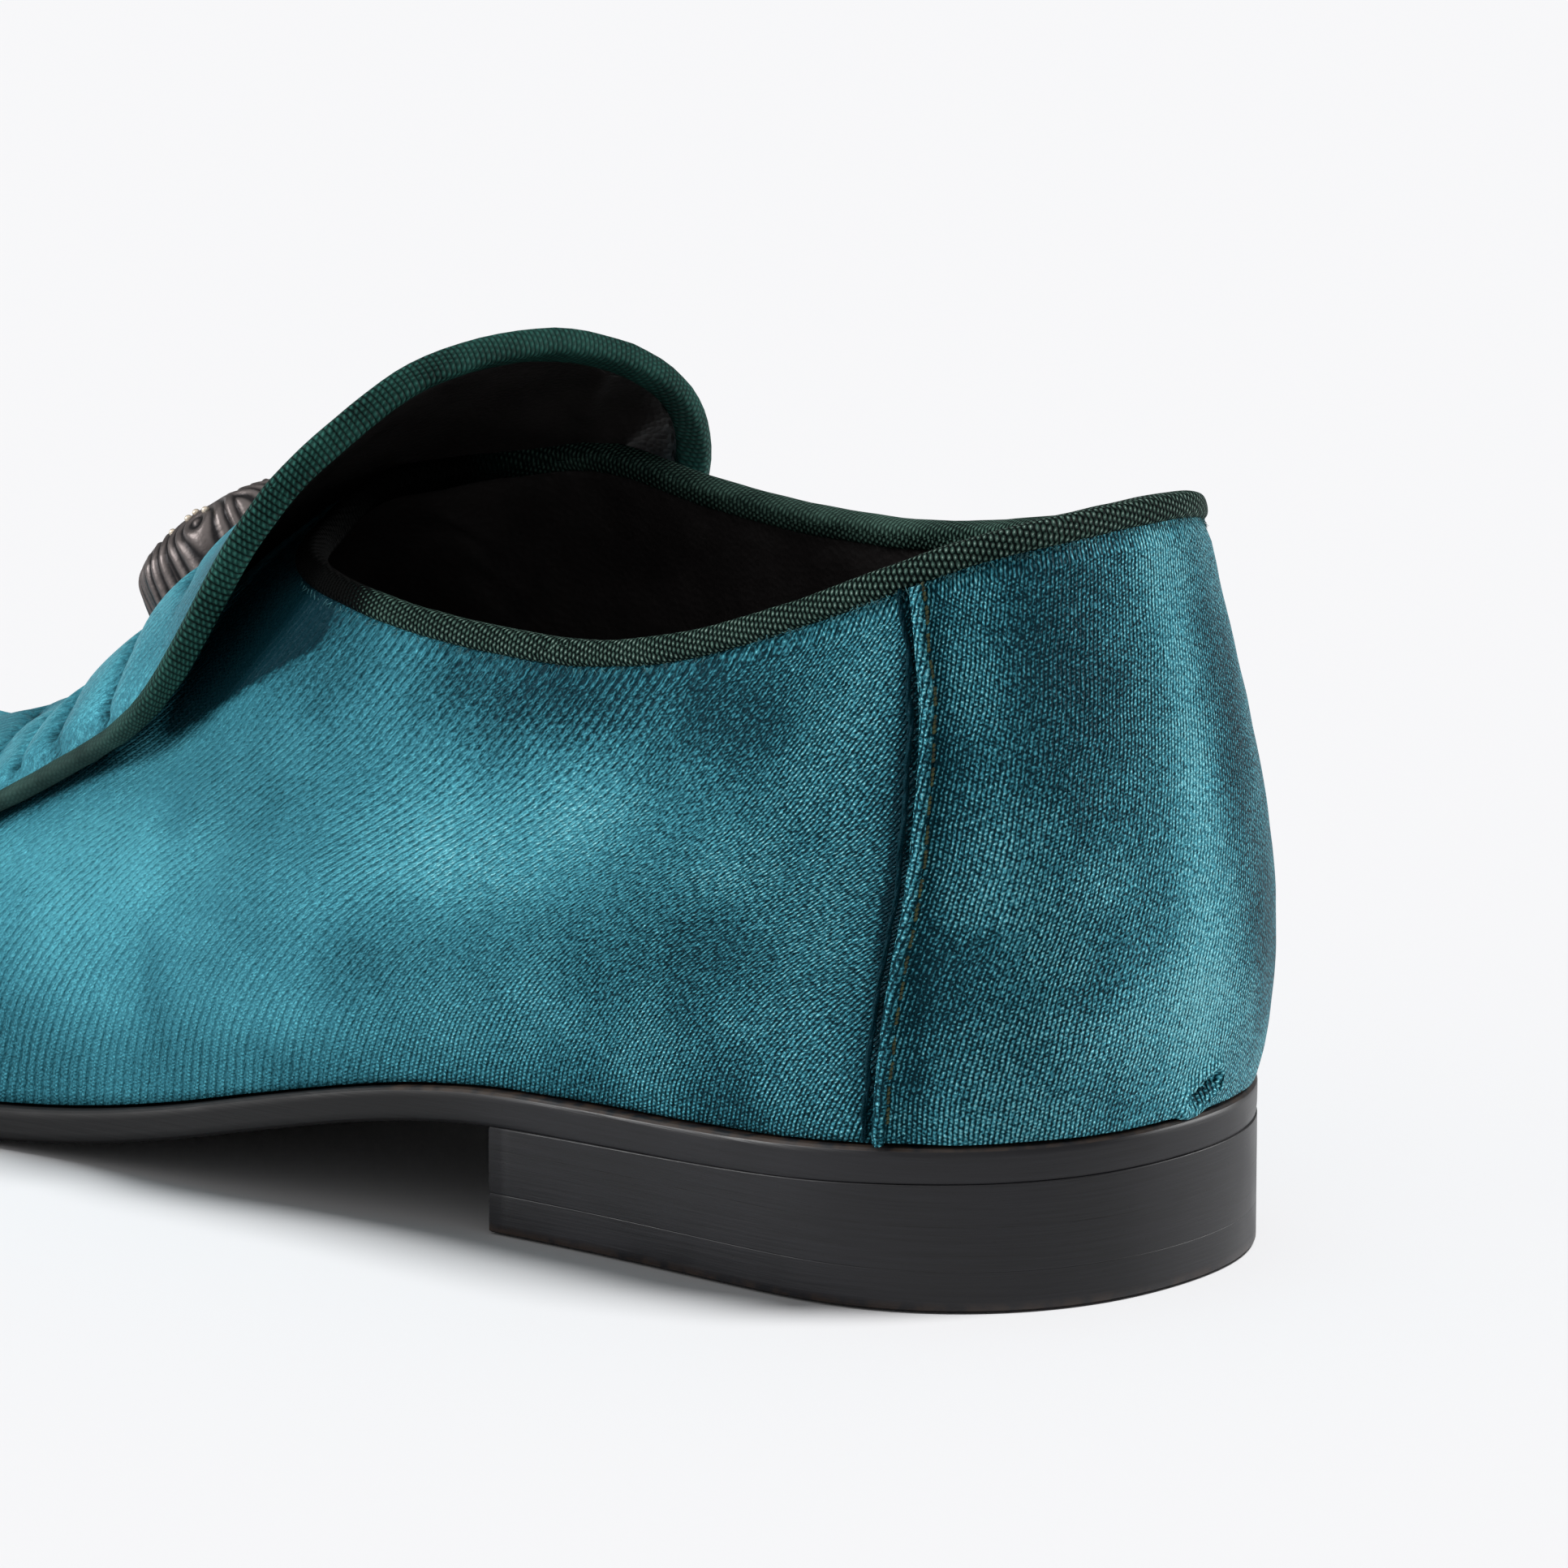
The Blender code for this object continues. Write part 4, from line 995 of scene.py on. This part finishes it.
ornament = {
    "width": 0.021, "length": 0.026, "relief": 0.00038, "arcPitch": 0.0015,
    # the brightest colour stands for high points bright from rubbing and for painted glints
    "groove": (0.012, 0.011, 0.012), "metal": (0.130, 0.112, 0.108), "rubbedAndGlint": (0.62, 0.54, 0.44),
    "beads": 26, "beadRadius": 0.00095, "studRadius": 0.00048,
    "studs": ((-0.62, -0.42), (-0.50, -0.22), (-0.60, -0.18), (-0.66, 0.02)),
    # middles of the chased arcs, as shares of the half width and half length
    "arcMiddles": ((0.0, -0.75), (-0.75, -0.35), (0.75, -0.35), (0.0, 0.05),
                   (-0.8, 0.45), (0.8, 0.45), (0.0, 0.85)),
}


def makeMetal():
    g = Graph("antiqueMetal")
    place = g.place()
    cast = g.noise(place, 420, 3.0, 0.6)
    tarnish = g.noise(place, 150, 3.0, 0.6)
    tone = g.painted("chase") + (cast - 0.5) * 0.5 + (tarnish - 0.5) * 0.4
    colour = g.mix(g.ramp(tone, 0.1, 0.85), ornament["groove"], ornament["metal"])
    # the highest tone: high points bright from rubbing and painted glints
    g.set(Base_Color=g.mix(g.ramp(tone, 1.1, 1.5), colour, ornament["rubbedAndGlint"]), Metallic=0.85,
          Roughness=g.ramp(tarnish, 0.3, 0.7, 0.34, 0.50), Normal=g.bump(cast, 0.0003, 0.5))
    return g.material


def chasing(across, along):
    # arcs round the nearest middle, 0 in a groove to 1 on a ridge
    gaps = (math.hypot((across - a) * ornament["width"], (along - b) * ornament["length"]) / 2
            for a, b in ornament["arcMiddles"])
    wave = 0.5 + 0.5 * math.cos(min(gaps) / ornament["arcPitch"] * math.tau)
    return wave ** 0.7


def makeOrnament():
    seatBvh = BVHTree.FromBMesh(mergedCopy("apron_tongue"))
    low, high = (Vector(corner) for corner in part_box("ornament"))
    centre = (low + high) / 2
    above = Vector((ridgeOffset, centre.y, 0.2))
    seat, normal, _, _ = seatBvh.ray_cast(above, Vector((0, 0, -1)))
    across = Vector((1, 0, 0))
    along = normal.cross(across).normalized()
    normal = across.cross(along)
    work = smoothCopy("ornament", 3, 60)
    spots = [v.co - seat for v in work.verts]
    middleRun = (max(s.dot(along) for s in spots) + min(s.dot(along) for s in spots)) / 2

    chased = work.verts.layers.float.new("chase")
    for vertex in work.verts:
        if vertex.normal.dot(normal) > -0.3:
            gap = vertex.co - seat
            ridge = chasing(gap.dot(across) / (ornament["width"] / 2),
                            (gap.dot(along) - middleRun) / (ornament["length"] / 2))
            vertex.co += vertex.normal * (ridge - 0.5) * ornament["relief"]
            vertex[chased] = ridge
    surface = BVHTree.FromBMesh(work)
    for i in range(ornament["beads"]):
        turn = math.tau * i / ornament["beads"]
        spot = seat + across * math.cos(turn) * ornament["width"] / 2 * 1.02
        spot += along * (math.sin(turn) * ornament["length"] / 2 * 1.02 + middleRun)
        base = seatBvh.ray_cast(spot + normal * 0.02, -normal)[0]
        bmesh.ops.create_icosphere(work, subdivisions=2, radius=ornament["beadRadius"],
                                   matrix=Matrix.Translation(base + normal * ornament["beadRadius"] * 1.1))
    for a, b in ornament["studs"]:
        spot = seat + across * a * ornament["width"] / 2 + along * (b * ornament["length"] / 2 + middleRun)
        top = surface.ray_cast(spot + normal * 0.03, -normal)[0]
        stud = bmesh.ops.create_icosphere(work, subdivisions=3, radius=ornament["studRadius"],
                                          matrix=Matrix.Translation(top))
        # the studs painted with the bright colour of rubbing and glints
        for vertex in stud["verts"]:
            vertex[chased] = 1.6
    finishPiece(work, "ornamentDome", [makeMetal()], ["ornament"])


makeOrnament()
print("ornament dressed")


# Studio

studio = {
    "target": (-0.0314, -0.0034, 0.0550), "azimuth": 311.4, "elevation": 12.26, "distance": 1.011,
    "focalPixels": 12000, "framePixels": 1932, "sensor": 36.0, "world": 0.22,
    "floor": (0.800, 0.800, 0.812), "floorSize": 6, "floorDrop": 0.0002,
    # name, what it lights, direction towards the light, strength, spread in degrees
    "suns": (
        ("leftSun", "shoe", (-0.60, 0.66, 0.45), 2.15, 24),
        ("topSun", "shoe", (-0.15, 0.05, 0.99), 1.25, 80),
        ("rightSun", "shoe", (0.82, -0.50, 0.28), 2.05, 22),
        ("frontSun", "shoe", (-0.80, -0.50, 0.35), 0.42, 90),
        ("floorSun", "floor", (0.20, -0.30, 0.93), 3.20, 16),
    ),
}


def makeStudio():
    target = Vector(studio["target"])
    a, e = math.radians(studio["azimuth"]), math.radians(studio["elevation"])
    back = Vector((math.sin(a) * math.cos(e), -math.cos(a) * math.cos(e), math.sin(e)))
    data = bpy.data.cameras.new("photoCamera")
    data.sensor_width = studio["sensor"]
    data.lens = studio["sensor"] * studio["focalPixels"] / studio["framePixels"]
    data.clip_start, data.clip_end = 0.05, 50
    camera = bpy.data.objects.new("photoCamera", data)
    camera.location = target + back * studio["distance"]
    camera.rotation_euler = back.to_track_quat("Z", "Y").to_euler()
    bpy.context.scene.collection.objects.link(camera)
    bpy.context.scene.camera = camera

    work = bmesh.new()
    bmesh.ops.create_grid(work, x_segments=1, y_segments=1, size=studio["floorSize"])
    mesh = bpy.data.meshes.new("studioFloor")
    work.to_mesh(mesh)
    work.free()
    floor = bpy.data.objects.new("studioFloor", mesh)
    floor.location.z = -studio["floorDrop"]
    bpy.context.scene.collection.objects.link(floor)
    g = Graph("palePaper")
    g.set(Base_Color=studio["floor"], Roughness=0.95, Specular_IOR_Level=0.0)
    mesh.materials.append(g.material)

    world = bpy.data.worlds.new("studioWorld")
    world.use_nodes = True
    world.node_tree.nodes["Background"].inputs[0].default_value = (1.0, 1.0, 1.0, 1)
    world.node_tree.nodes["Background"].inputs[1].default_value = studio["world"]
    bpy.context.scene.world = world
    lit = {"shoe": bpy.data.collections.new("litShoe"), "floor": bpy.data.collections.new("litFloor")}
    lit["floor"].objects.link(floor)
    for piece in pieces:
        lit["shoe"].objects.link(piece)
    for name, group, way, strength, spread in studio["suns"]:
        light = bpy.data.lights.new(name, "SUN")
        light.energy, light.angle = strength, math.radians(spread)
        lamp = bpy.data.objects.new(name, light)
        lamp.rotation_euler = Vector(way).to_track_quat("Z", "Y").to_euler()
        lamp.light_linking.receiver_collection = lit[group]
        bpy.context.scene.collection.objects.link(lamp)
    bpy.context.scene.view_settings.view_transform = "Standard"


makeStudio()
print("studio ready")
